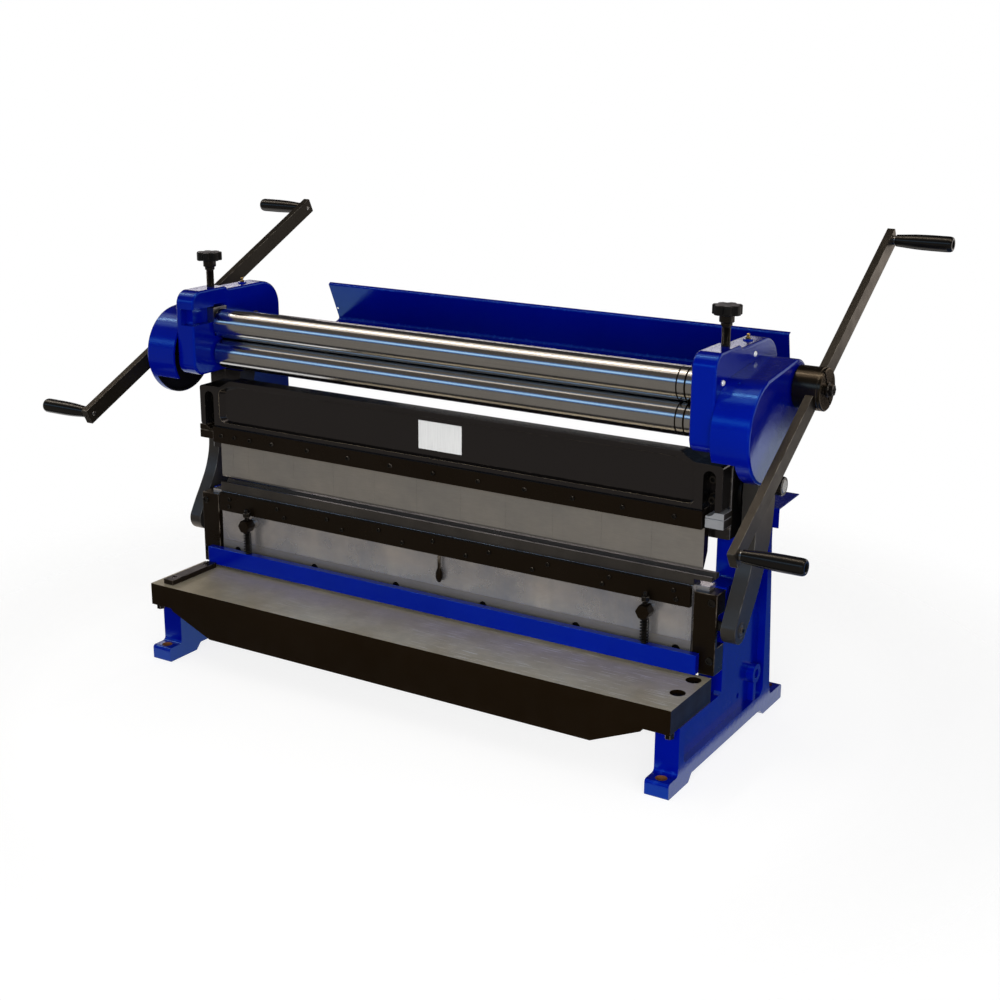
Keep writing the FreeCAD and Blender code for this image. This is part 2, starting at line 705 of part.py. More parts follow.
def crank_hub(side):
    """Hub with a square window for the bar, a turned groove and a slotted end."""
    deg, shift, out, end = side
    body = rod_x(CRANK_Y, CRANK_Z, HUB_R, HUB_IN, HUB_OUT)
    rim = [e for e in body.Edges if e.BoundBox.XLength < 0.1]
    body = body.makeChamfer(1.5, rim)
    ring = rod_x(CRANK_Y, CRANK_Z, HUB_R + 1, 721, 722.6).cut(rod_x(CRANK_Y, CRANK_Z, HUB_R - 1, 720, 724))
    slot = turned_bar(118, HUB_OUT - 4, HUB_OUT + 1, 2, 60, 60)
    window = turned_bar(deg, BAR_IN, BAR_OUT, BAR_H / 2, 100, 100)
    shaft = rod_x(CRANK_Y, CRANK_Z, CRANK_R, HUB_IN - 1, HUB_OUT - 4)
    body = body.cut(joined([ring, slot, window, shaft]))
    bolt = rod_x(CRANK_Y, CRANK_Z, 13, HUB_OUT - 4, HUB_OUT + 3)
    pts = []
    for i in range(6):
        a = math.radians(60 * i)
        pts.append((CRANK_Y + 11 * math.cos(a), CRANK_Z + 11 * math.sin(a)))
    hub = joined([body, bolt, plate_x(pts, HUB_OUT + 3, HUB_OUT + 12)])
    hub.translate(vec(out, 0, 0))
    return hub


def grip_pins(side):
    """Plain pins on which the grips turn, with a washer and a riveted end."""
    deg, shift, out, end = side
    parts = []
    for sign in (-1, 1):
        y, z = grip_axis(side, sign)
        pin = rod_x(y, z, 4.5, BAR_IN + out - 1.5, end - 7)
        washer = rod_x(y, z, 9, BAR_OUT + out, BAR_OUT + out + 5)
        cap = rod_x(y, z, 6.5, end - 11, end - 7)
        parts.append(joined([pin, washer, cap]))
    return Part.makeCompound(parts)


def grip(side, sign):
    """Bulged handle sleeve turned about its pin."""
    deg, shift, out, end = side
    y, z = grip_axis(side, sign)
    x0 = BAR_OUT + out + 5.3
    pts = [(4.6, x0), (11.3, x0), (14.4, x0 + 42), (14.8, end - 7), (11.6, end), (7.6, end),
           (7.6, end - 11.4), (4.6, end - 11.4)]
    face = outline(pts, place_xz)
    body = face.revolve(vec(0, 0, 0), vec(0, 0, 1), 360)
    body.rotate(vec(0, 0, 0), vec(0, 1, 0), 90)
    body.translate(vec(0, y, z))
    return body


def roll(y, z, journal_r, journal_end, grooves):
    c = 3.0
    pts = [(0, -journal_end), (journal_r - 1, -journal_end), (journal_r, -journal_end + 1),
           (journal_r, -ROLL_HALF), (ROLL_R - c, -ROLL_HALF), (ROLL_R, -ROLL_HALF + c)]
    for x, w in grooves:
        pts = pts + [(ROLL_R, x - w), (ROLL_R - w, x), (ROLL_R, x + w)]
    pts = pts + [(ROLL_R, ROLL_HALF - c), (ROLL_R - c, ROLL_HALF), (journal_r, ROLL_HALF),
                 (journal_r, journal_end - 1), (journal_r - 1, journal_end), (0, journal_end)]
    face = outline(pts, place_xz)
    body = face.revolve(vec(0, 0, 0), vec(0, 0, 1), 360)
    body.rotate(vec(0, 0, 0), vec(0, 1, 0), 90)
    body.translate(vec(0, y, z))
    return body


WIRE_GROOVES = [(505, 1.4), (521, 1.8), (536, 2.2)]


def upper_roll_blocks():
    body = box(558, 596.5, ROLL_Y - 20.7, ROLL_Y + 20.7, 671, 727)
    body = body.cut(rod_x(ROLL_Y, UPPER_Z, 14.08, 550, 610))
    edges = [e for e in body.Edges if e.BoundBox.XLength > 30 and e.BoundBox.ZLength < 1
             and abs(e.BoundBox.YMin - ROLL_Y) > 20]
    return both(body.makeChamfer(1.5, edges))


def rear_roll_blocks():
    body = box(558, 602, REAR_Y - 20, REAR_Y + 20, 598, 645)
    body = body.cut(rod_x(REAR_Y, REAR_Z, JOURNAL_R + 0.08, 550, 610))
    stud = rod_z(577, REAR_Y, 6, 565, 600)
    head = hexagon_z(577, REAR_Y, 9, 554, 566)
    return both(joined([body, stud, head]))


def knob(x):
    """Star knob with a stepped neck on its screw."""
    top = 839.0
    pts = [(0, 727.3), (7, 727.3), (8, 728.5), (8, 803), (10, 803), (10, 808), (13.2, 810), (13.2, 822),
           (0, 822)]
    face = outline(pts, place_xz)
    body = face.revolve(vec(0, 0, 0), vec(0, 0, 1), 360)
    star = rod_z(0, 0, 26, 822, top)
    rim = [e for e in star.Edges if abs(e.BoundBox.ZMin - top) < 0.1 and e.BoundBox.ZLength < 0.1]
    star = star.makeChamfer(2.0, rim)
    notches = []
    for i in range(7):
        a = math.radians(360.0 / 7 * i + 12)
        notches.append(rod_z(30 * math.cos(a), 30 * math.sin(a), 8, 820, top + 1))
    star = star.cut(joined(notches))
    dish = Part.makeCone(9, 12, 2, vec(0, 0, top - 1.6), vec(0, 0, 1))
    body = joined([body, star.cut(dish)])
    body.translate(vec(x, ROLL_Y, 0))
    return body


save("right_side_frame", side_frame())
save("left_side_frame", mirrored(side_frame()))
save("right_end_bracket", end_bracket())
save("left_end_bracket", mirrored(end_bracket()))
save("table", table())
save("table_screws", table_screws())
save("squaring_fence", squaring_fence())
save("lower_blade", lower_blade())
save("upper_beam", upper_beam())
save("beam_bolts", beam_bolts())
save("beam_blocks", beam_blocks())
save("finger_clamp_bar", finger_clamp_bar())
save("clamp_screws", clamp_screws())
save("finger_punches", finger_punches())
save("label_plate", label_plate())
save("ram_guides", both(ram_guide()))
save("guide_screws", guide_screws())
save("right_roll_housing", housing(False))
save("left_roll_housing", housing(True))
save("right_gear_cover", gear_cover(674.0))
save("left_gear_cover", mirrored(gear_cover(677.0)))
save("cover_screws", cover_screws())
save("grease_nipples", grease_nipples())
save("rear_chute", rear_chute())
save("rear_shelf", rear_shelf())
save("tie_bars", tie_bars())
save("shaft_bushes", shaft_bushes())
save("ram_plate", ram_plate())
save("v_die", v_die())
save("die_clamp_bar", die_clamp_bar())
save("ram_screws", ram_screws())
save("upper_blade", upper_blade())
save("spring_eyes", spring_eyes())
save("centre_stud", centre_stud())
save("ram_pins", ram_pins())
save("hold_down_bar", hold_down_bar())
save("hold_down_rods", hold_down_rods())
save("hold_down_springs", Part.makeCompound([spring(-ROD_X), spring(ROD_X)]))
save("right_link", link())
save("left_link", mirrored(link()))
save("eccentric_shaft", eccentric_shaft())
save("shaft_collars", shaft_collars())
save("crank_shaft", crank_shaft())
save("right_crank_hub", crank_hub(RIGHT_BAR))
save("left_crank_hub", mirrored(crank_hub(LEFT_BAR)))
save("right_crank_bar", crank_bar(RIGHT_BAR))
save("left_crank_bar", mirrored(crank_bar(LEFT_BAR)))
save("right_grip_pins", grip_pins(RIGHT_BAR))
save("left_grip_pins", mirrored(grip_pins(LEFT_BAR)))
save("right_upper_grip", grip(RIGHT_BAR, 1))
save("right_lower_grip", grip(RIGHT_BAR, -1))
save("left_upper_grip", mirrored(grip(LEFT_BAR, 1)))
save("left_lower_grip", mirrored(grip(LEFT_BAR, -1)))
save("lower_roll", roll(ROLL_Y, LOWER_Z, JOURNAL_R, 602.5, WIRE_GROOVES))
save("upper_roll", roll(ROLL_Y, UPPER_Z, 14.0, 601, WIRE_GROOVES))
save("rear_roll", roll(REAR_Y, REAR_Z, JOURNAL_R, 601, []))
save("upper_roll_blocks", upper_roll_blocks())
save("rear_roll_blocks", rear_roll_blocks())
save("right_knob", knob(581.5))
save("left_knob", knob(-581.5))
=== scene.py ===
import math

import bmesh
import bpy
from mathutils import Matrix, Vector

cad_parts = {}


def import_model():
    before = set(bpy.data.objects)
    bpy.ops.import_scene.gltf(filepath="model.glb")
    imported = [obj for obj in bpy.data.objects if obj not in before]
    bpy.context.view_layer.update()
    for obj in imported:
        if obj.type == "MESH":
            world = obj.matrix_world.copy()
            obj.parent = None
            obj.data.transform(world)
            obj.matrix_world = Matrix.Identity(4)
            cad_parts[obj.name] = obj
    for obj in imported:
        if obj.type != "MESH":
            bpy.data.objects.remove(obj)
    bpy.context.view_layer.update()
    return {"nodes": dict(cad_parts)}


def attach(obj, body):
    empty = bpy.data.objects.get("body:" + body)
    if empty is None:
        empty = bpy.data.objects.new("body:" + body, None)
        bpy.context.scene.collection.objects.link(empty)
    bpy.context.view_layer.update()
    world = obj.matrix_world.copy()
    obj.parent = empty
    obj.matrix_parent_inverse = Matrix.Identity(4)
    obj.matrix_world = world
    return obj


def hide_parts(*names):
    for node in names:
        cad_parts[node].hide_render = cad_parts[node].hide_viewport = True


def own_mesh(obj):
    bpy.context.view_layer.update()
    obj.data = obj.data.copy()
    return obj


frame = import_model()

# Sizes are in millimetres and are turned into metres when a mesh is made.
MM = 0.001

# frames and housings
FRAME_IN = 555.0
FRAME_OUT = 602.0
FRAME_THIN = 588.0
BOSS_Y = 124.0
BOSS_Z = 101.0
FOOT_HOLE_X = 579.0
FOOT_HOLE_Y = 241.0
FOOT_HOLE_R = 11.0
TIE_Y = 68.0
TIE_Z = 72.5
HOUS_IN = 557.0
HOUS_OUT = 603.0
HOUS_BOTTOM = 592.0
HOUS_TOP = 761.0
HOUS_FRONT = -137.0
HOUS_BACK = 141.0

# table
TABLE_HALF = 600.0
TABLE_FRONT = -257.0
TABLE_BACK = -89.0
TABLE_TOP = 168.0
TABLE_SCREWS = [(x, y) for x in (-576, 576) for y in (-180, -114)]
FENCE_SCREWS = [(-562.5, -225), (-562.5, -128)]

# slots and bolts at the beam's ends
SLOT_X = 575.0
BEAM_BOLT_Z = (530, 492)

# rolls
ROLL_R = 31.0
ROLL_HALF = 554.0
ROLL_Y = -52.0
LOWER_Z = 630.0
UPPER_Z = 692.5
REAR_Y = 38.0
REAR_Z = 620.0
KNOB_X = 581.5
STUD_X = 577.0

# gear covers
COVER_Y = -59.3
COVER_Z = 628.2
COVER_R = 92.6
COVER_CRANK_R = 47.5
# between the ends of both hollows and both outer faces
COVER_SHELL = 672.5

# crank
CRANK_Y = 58.9
CRANK_Z = 686.9
CRANK_R = 12.5
HUB_R = 38.5
HUB_IN = 676.5
HUB_OUT = 729.0
BAR_IN = 702.5
BAR_OUT = 717.2
BAR_H = 33.0
BAR_HALF = 417.0
GRIP_HALF = 402.0
# each side: bar angle, bar centre beyond the shaft, extra distance outwards, outer end of the grips
RIGHT_BAR = (32.5, 9.0, 0.0, 830.0)
LEFT_BAR = (25.93, 27.5, 9.25, 848.0)

# eccentric shaft, links and ram pins
PIN_Y = 28.0
PIN_Z = 510.0
THROW = 30.0
ECC_Y = PIN_Y + THROW * math.cos(math.radians(50.0))
ECC_Z = PIN_Z - THROW * math.sin(math.radians(50.0))
RAM_PIN_Y = -60.0
RAM_PIN_Z = 259.0
LINK_IN = 611.0
LINK_OUT = 640.0

# ram and hold-down
RAM_HALF = 552.0
RAM_FRONT = -80.0
RAM_BACK = -46.3
RAM_TOP = 333.0
RAM_BOTTOM = 196.0
DIE_TOP = 354.0
BAR_BOTTOM = 174.0
BAR_TOP = 212.0
ROD_X = 468.0
ROD_Y = -99.0
EYE_Z = 274.0

# the axes along X that several pieces share: direction, Y, Z
LOWER_AXIS = ("x", ROLL_Y, LOWER_Z)
UPPER_AXIS = ("x", ROLL_Y, UPPER_Z)
REAR_AXIS = ("x", REAR_Y, REAR_Z)
CRANK_AXIS = ("x", CRANK_Y, CRANK_Z)
ECC_AXIS = ("x", ECC_Y, ECC_Z)
PIN_AXIS = ("x", PIN_Y, PIN_Z)
RAM_PIN_AXIS = ("x", RAM_PIN_Y, RAM_PIN_Z)
# from inside a frame or housing to outside it
THROUGH = (550, 610)

# ---------------- meshes


def link_object(data, name="piece"):
    ob = bpy.data.objects.new(name, data)
    bpy.context.scene.collection.objects.link(ob)
    return ob


def discard(obs):
    for ob in obs:
        mesh = ob.data
        bpy.data.objects.remove(ob)
        bpy.data.meshes.remove(mesh)


def from_bmesh(bm):
    bmesh.ops.recalc_face_normals(bm, faces=bm.faces)
    mesh = bpy.data.meshes.new("piece")
    bm.to_mesh(mesh)
    bm.free()
    return link_object(mesh)


def to_xyz(axis, a, b, c):
    """Point from two outline coordinates and the place along the axis."""
    if axis == "x":
        return Vector((c, a, b)) * MM
    if axis == "y":
        return Vector((a, c, b)) * MM
    return Vector((a, b, c)) * MM


def rounded(points, step=7.0):
    """Outline points from (a, b, radius) corners, with arcs cut into equal steps of some degrees."""
    out = []
    n = len(points)
    for i in range(n):
        pa, pb, pc = points[i - 1], points[i], points[(i + 1) % n]
        r = pb[2] if len(pb) > 2 else 0.0
        corner = Vector(pb[:2])
        if r <= 0:
            out.append(corner)
            continue
        ua = (Vector(pa[:2]) - corner).normalized()
        uc = (Vector(pc[:2]) - corner).normalized()
        half = ua.angle(uc) / 2.0
        run = r / math.tan(half)
        centre = corner + (ua + uc).normalized() * (r / math.sin(half))
        va = corner + ua * run - centre
        vc = corner + uc * run - centre
        sweep = va.angle(vc)
        sign = 1.0 if va.x * vc.y - va.y * vc.x > 0 else -1.0
        count = max(2, int(math.degrees(sweep) / step) + 1)
        for k in range(count + 1):
            t = sign * sweep * k / count
            out.append(
                centre + Vector((va.x * math.cos(t) - va.y * math.sin(t),
                    va.x * math.sin(t) + va.y * math.cos(t)))
            )
    return out


def polar(a, b, r, angle):
    return Vector((a + r * math.cos(angle), b + r * math.sin(angle)))


def circle(a, b, r, count=48):
    return [polar(a, b, r, 2 * math.pi * i / count) for i in range(count)]


def prism(outline, axis, lo, hi, outline_hi=None):
    """Solid between two copies of an outline. The second outline may differ, for sloped sides."""
    bm = bmesh.new()
    top = outline_hi or outline
    va = [bm.verts.new(to_xyz(axis, p[0], p[1], lo)) for p in outline]
    vb = [bm.verts.new(to_xyz(axis, p[0], p[1], hi)) for p in top]
    n = len(va)
    bm.faces.new(va)
    bm.faces.new(list(reversed(vb)))
    for i in range(n):
        bm.faces.new((va[i], vb[i], vb[(i + 1) % n], va[(i + 1) % n]))
    return from_bmesh(bm)


def block(x0, x1, y0, y1, z0, z1):
    return prism([(y0, z0), (y1, z0), (y1, z1), (y0, z1)], "x", x0, x1)


def rod(axis, a, b, r, lo, hi, count=48):
    return prism(circle(a, b, r, count), axis, lo, hi)


def lathe(profile, axis, a, b, count=64):
    """Solid of revolution from (radius, place) pairs. Radius 0 closes an end."""
    bm = bmesh.new()
    rings = []
    for r, c in profile:
        if r <= 0:
            rings.append([bm.verts.new(to_xyz(axis, a, b, c))])
        else:
            rings.append([bm.verts.new(to_xyz(axis, p[0], p[1], c)) for p in circle(a, b, r, count)])
    for ra, rb in zip(rings[:-1], rings[1:]):
        for i in range(count):
            j = (i + 1) % count
            if len(ra) == 1:
                bm.faces.new((ra[0], rb[i], rb[j]))
            elif len(rb) == 1:
                bm.faces.new((ra[i], ra[j], rb[0]))
            else:
                bm.faces.new((ra[i], ra[j], rb[j], rb[i]))
    if len(rings[0]) > 1:
        first, last = rings[0], rings[-1]
        for i in range(count):
            j = (i + 1) % count
            bm.faces.new((last[i], last[j], first[j], first[i]))
    return from_bmesh(bm)


def pin(axis, a, b, r, lo, hi, chamfer, count):
    """Rod with a chamfer at both ends."""
    profile = [(0, lo), (r - chamfer, lo), (r, lo + chamfer), (r, hi - chamfer), (r - chamfer, hi), (0, hi)]
    return smooth(lathe(profile, axis, a, b, count))


def applied(ob):
    """Gives the object the mesh that its modifiers make."""
    bpy.context.view_layer.update()
    graph = bpy.context.evaluated_depsgraph_get()
    mesh = bpy.data.meshes.new_from_object(ob.evaluated_get(graph), depsgraph=graph)
    ob.modifiers.clear()
    old = ob.data
    ob.data = mesh
    mesh.name = ob.name
    bpy.data.meshes.remove(old)
    return ob


def boolean(ob, others, operation):
    for other in others:
        mod = ob.modifiers.new("cut", "BOOLEAN")
        mod.operation = operation
        mod.solver = "EXACT"
        mod.object = other
    applied(ob)
    discard(others)
    bm = bmesh.new()
    bm.from_mesh(ob.data)
    bmesh.ops.remove_doubles(bm, verts=bm.verts, dist=1e-6)
    bmesh.ops.dissolve_degenerate(bm, edges=bm.edges, dist=1e-6)
    bmesh.ops.dissolve_limit(bm, angle_limit=math.radians(0.5), verts=bm.verts, edges=bm.edges)
    bm.to_mesh(ob.data)
    bm.free()
    return ob


def cut(ob, *others):
    return boolean(ob, others, "DIFFERENCE")


def fuse(ob, *others):
    return boolean(ob, others, "UNION")


def edged(ob, width, segments=2, angle=32.0):
    """Breaks every sharp edge by a real bevel."""
    mod = ob.modifiers.new("edge", "BEVEL")
    mod.width = width * MM
    mod.segments = segments
    mod.limit_method = "ANGLE"
    mod.angle_limit = math.radians(angle)
    mod.miter_outer = "MITER_ARC"
    mod.use_clamp_overlap = True
    return smooth(applied(ob), angle)


def smooth(ob, angle=32.0):
    for poly in ob.data.polygons:
        poly.use_smooth = True
    ob.data.set_sharp_from_angle(angle=math.radians(angle))
    return ob


def join(obs):
    """One object from several, which keeps each one's faces."""
    bm = bmesh.new()
    for ob in obs:
        bm.from_mesh(ob.data)
    mesh = bpy.data.meshes.new("piece")
    bm.to_mesh(mesh)
    bm.free()
    discard(obs)
    return link_object(mesh)


def mirror_copy(ob):
    mesh = ob.data.copy()
    mesh.transform(Matrix.Scale(-1, 4, Vector((1, 0, 0))))
    mesh.flip_normals()
    return link_object(mesh)


def left_and_right(ob):
    """The right-hand piece and its mirror image, each with its side's word."""
    return ("right", ob), ("left", mirror_copy(ob))


def on_side(word, ob):
    """The piece itself, or only its mirror image where the word is left."""
    if word == "right":
        return ob
    out = mirror_copy(ob)
    discard([ob])
    return out


def both_sides(ob):
    return smooth(join([ob, mirror_copy(ob)]))


def turned(ob, degrees, a, b):
    """Turns a mesh about an axis along X that passes through (Y a, Z b)."""
    pivot = Vector((0, a, b)) * MM
    turn = Matrix.Rotation(math.radians(degrees), 4, "X")
    ob.data.transform(Matrix.Translation(pivot) @ turn @ Matrix.Translation(-pivot))
    return ob


def thread(crest, root, low, high):
    """Profile points of a screw thread, drawn as grooves 1.5 mm apart."""
    points = []
    while low < high:
        points = points + [(crest, low), (root, low + 0.75)]
        low = low + 1.5
    return points


def helix(x, y, z0, z1, radius, wire, turns, sides=10, steps=26):
    bm = bmesh.new()
    total = int(turns * steps)
    rings = []
    for i in range(total + 1):
        t = i / total
        a = 2 * math.pi * turns * t
        rise = z0 + (z1 - z0) * t
        centre = Vector((x + radius * math.cos(a), y + radius * math.sin(a), rise))
        out = Vector((math.cos(a), math.sin(a), 0))
        ring = []
        for k in range(sides):
            b = 2 * math.pi * k / sides
            ring.append(
                bm.verts.new((centre + out * (wire * math.cos(b)) + Vector((0, 0,
                    wire * math.sin(b)))) * MM)
            )
        rings.append(ring)
    for ra, rb in zip(rings[:-1], rings[1:]):
        for k in range(sides):
            m = (k + 1) % sides
            bm.faces.new((ra[k], ra[m], rb[m], rb[k]))
    bm.faces.new(rings[0])
    bm.faces.new(list(reversed(rings[-1])))
    return smooth(from_bmesh(bm), 40)


# ---------------- materials


class Shader:
    """A small helper that adds nodes to a new material."""

    def __init__(self, name):
        self.mat = bpy.data.materials.new(name)
        self.mat.use_nodes = True
        self.tree = self.mat.node_tree
        self.tree.nodes.clear()
        self.out = self.node("OutputMaterial")
        self.bsdf = self.node("BsdfPrincipled")
        self.wire(self.bsdf, self.out)
        self.coords = self.node("TexCoord").outputs["Object"]

    def node(self, kind):
        return self.tree.nodes.new("ShaderNode" + kind)

    def wire(self, source, target, number=0):
        """Joins the first output of one node to an input of another."""
        self.tree.links.new(source.outputs[0], target.inputs[number])

    def put(self, socket, value):
        if isinstance(value, bpy.types.NodeSocket):
            self.tree.links.new(value, socket)
        elif isinstance(value, tuple) and len(value) == 3 and socket.type == "RGBA":
            socket.default_value = value + (1.0,)
        else:
            socket.default_value = value

    def set(self, name, value):
        self.put(self.bsdf.inputs[name], value)
        return self

    def stretch(self, scale):
        node = self.node("Mapping")
        self.put(node.inputs["Vector"], self.coords)
        node.inputs["Scale"].default_value = scale
        return node.outputs[0]

    def noise(self, scale, detail=3.0, rough=0.5, vector=None):
        node = self.node("TexNoise")
        self.put(node.inputs["Vector"], vector or self.coords)
        node.inputs["Scale"].default_value = scale
        node.inputs["Detail"].default_value = detail
        node.inputs["Roughness"].default_value = rough
        return node.outputs["Fac"]

    def ramp(self, value, stops):
        node = self.node("ValToRGB")
        self.put(node.inputs[0], value)
        elements = node.color_ramp.elements
        while len(elements) < len(stops):
            elements.new(0.5)
        for element, (place, colour) in zip(elements, stops):
            element.position = place
            if not isinstance(colour, tuple):
                colour = (colour, colour, colour)
            element.color = colour + (1.0,)
        return node.outputs[0]

    def mix(self, factor, a, b):
        node = self.node("Mix")
        node.data_type = "RGBA"
        self.put(node.inputs[0], factor)
        self.put(node.inputs[6], a)
        self.put(node.inputs[7], b)
        return node.outputs[2]

    def math(self, kind, a, b=0.5):
        node = self.node("Math")
        node.operation = kind
        self.put(node.inputs[0], a)
        self.put(node.inputs[1], b)
        return node.outputs[0]

    def span(self, value, low, high, new_low, new_high):
        node = self.node("MapRange")
        self.put(node.inputs[0], value)
        for i, number in enumerate((low, high, new_low, new_high)):
            node.inputs[i + 1].default_value = number
        return node.outputs[0]

    def edge(self):
        """1 on the narrow faces that break an edge, for wear and for painted edge highlights."""
        node = self.node("Attribute")
        node.attribute_name = "edge"
        return node.outputs["Fac"]

    def bump(self, height, strength, distance=0.001, normal=None):
        node = self.node("Bump")
        node.inputs["Strength"].default_value = strength
        node.inputs["Distance"].default_value = distance
        self.put(node.inputs["Height"], height)
        if normal is not None:
            self.put(node.inputs["Normal"], normal)
        return node.outputs[0]


def paint(name, colour, deep, rough, casting=0.25, sheen=(1.0, 1.0, 1.0), chip_and_edge_highlight=(0.3, 0.3, 0.3)):
    """Glossy paint over a casting, with clouds, orange peel and lighter edges: worn edges, and on the blue
    paint a painted edge highlight.
    """
    s = Shader(name)
    cloud = s.noise(5.0, 4.0)
    tone = s.mix(s.ramp(cloud, [(0.30, 0.0), (0.75, 1.0)]), deep, colour)
    wear_and_edge_highlight = s.math("MULTIPLY", s.edge(), s.ramp(s.noise(90.0, 3.0), [(0.52, 0.0), (0.72, 0.55)]))
    s.set("Base Color", s.mix(wear_and_edge_highlight, tone, chip_and_edge_highlight))
    s.set("Roughness", s.span(s.noise(60.0, 3.0), 0.3, 0.7, rough * 0.8, rough * 1.25))
    s.set("Specular Tint", sheen)
    s.set("IOR", 1.7)
    peel = s.bump(s.noise(300.0, 2.0), casting * 1.5, 0.0003)
    s.set("Normal", s.bump(s.noise(70.0, 2.0), casting, 0.0004, peel))
    return s.mat


def steel(name, colour, smear_and_reflection, rough, grain, grain_strength, stain=0.5, metallic=1.0, scratch=0.0):
    """Bare steel with a directional grain, smeared oil, stains and long scratches. On the ram the smear
    colour is blue-grey, a painted reflection.
    """
    s = Shader(name)
    lines = s.noise(1.0, 2.0, 0.6, s.stretch(grain))
    cloud = s.noise(7.0, 5.0, 0.6)
    spots = s.ramp(s.noise(34.0, 4.0, 0.7), [(0.42, 1.0), (0.62, 0.0)])
    tone = s.mix(s.ramp(cloud, [(0.3, 0.0), (0.72, 1.0)]), smear_and_reflection, colour)
    tone = s.mix(s.math("MULTIPLY", spots, stain * 0.35), tone, tuple(c * 0.62 for c in smear_and_reflection))
    tone = s.mix(s.span(lines, 0.3, 0.7, 0.0, 0.22), tone, tuple(c * 0.55 for c in colour))
    if scratch:
        fine = s.noise(1.0, 1.0, 0.5, s.stretch(tuple(g * 1.7 for g in grain)))
        patches = s.ramp(s.noise(3.0, 2.0), [(0.42, 0.2), (0.62, 1.0)])
        mask = s.math("MULTIPLY", s.ramp(fine, [(0.64, 0.0), (0.70, scratch)]), patches)
        tone = s.mix(mask, tone, tuple(min(1.0, c * 2.2) for c in colour))
    s.set("Base Color", tone)
    s.set("Metallic", metallic)
    s.set("Roughness", s.span(cloud, 0.3, 0.7, rough * 1.25, rough * 0.8))
    s.set("Normal", s.bump(lines, grain_strength, 0.0003))
    return s.mat


def dark_metal(name, colour, warm, rough, metallic=0.35, worn_to=(0.16, 0.14, 0.12), sheen=(1.0, 0.9, 0.8)):
    """Oiled or thinly painted dark steel with rubbed edges."""
    s = Shader(name)
    s.set("Specular Tint", sheen)
    cloud = s.noise(6.0, 5.0, 0.55)
    tone = s.mix(s.ramp(cloud, [(0.25, 0.0), (0.85, 1.0)]), colour, warm)
    rub = s.math("MULTIPLY", s.edge(), s.ramp(s.noise(45.0, 3.0), [(0.40, 0.0), (0.66, 1.0)]))
    s.set("Base Color", s.mix(rub, tone, worn_to))
    s.set("Metallic", metallic)
    s.set("Roughness", s.span(s.noise(30.0, 4.0), 0.3, 0.7, rough * 0.85, rough * 1.2))
    s.set("Normal", s.bump(s.noise(260.0, 3.0), 0.14, 0.0002))
    return s.mat


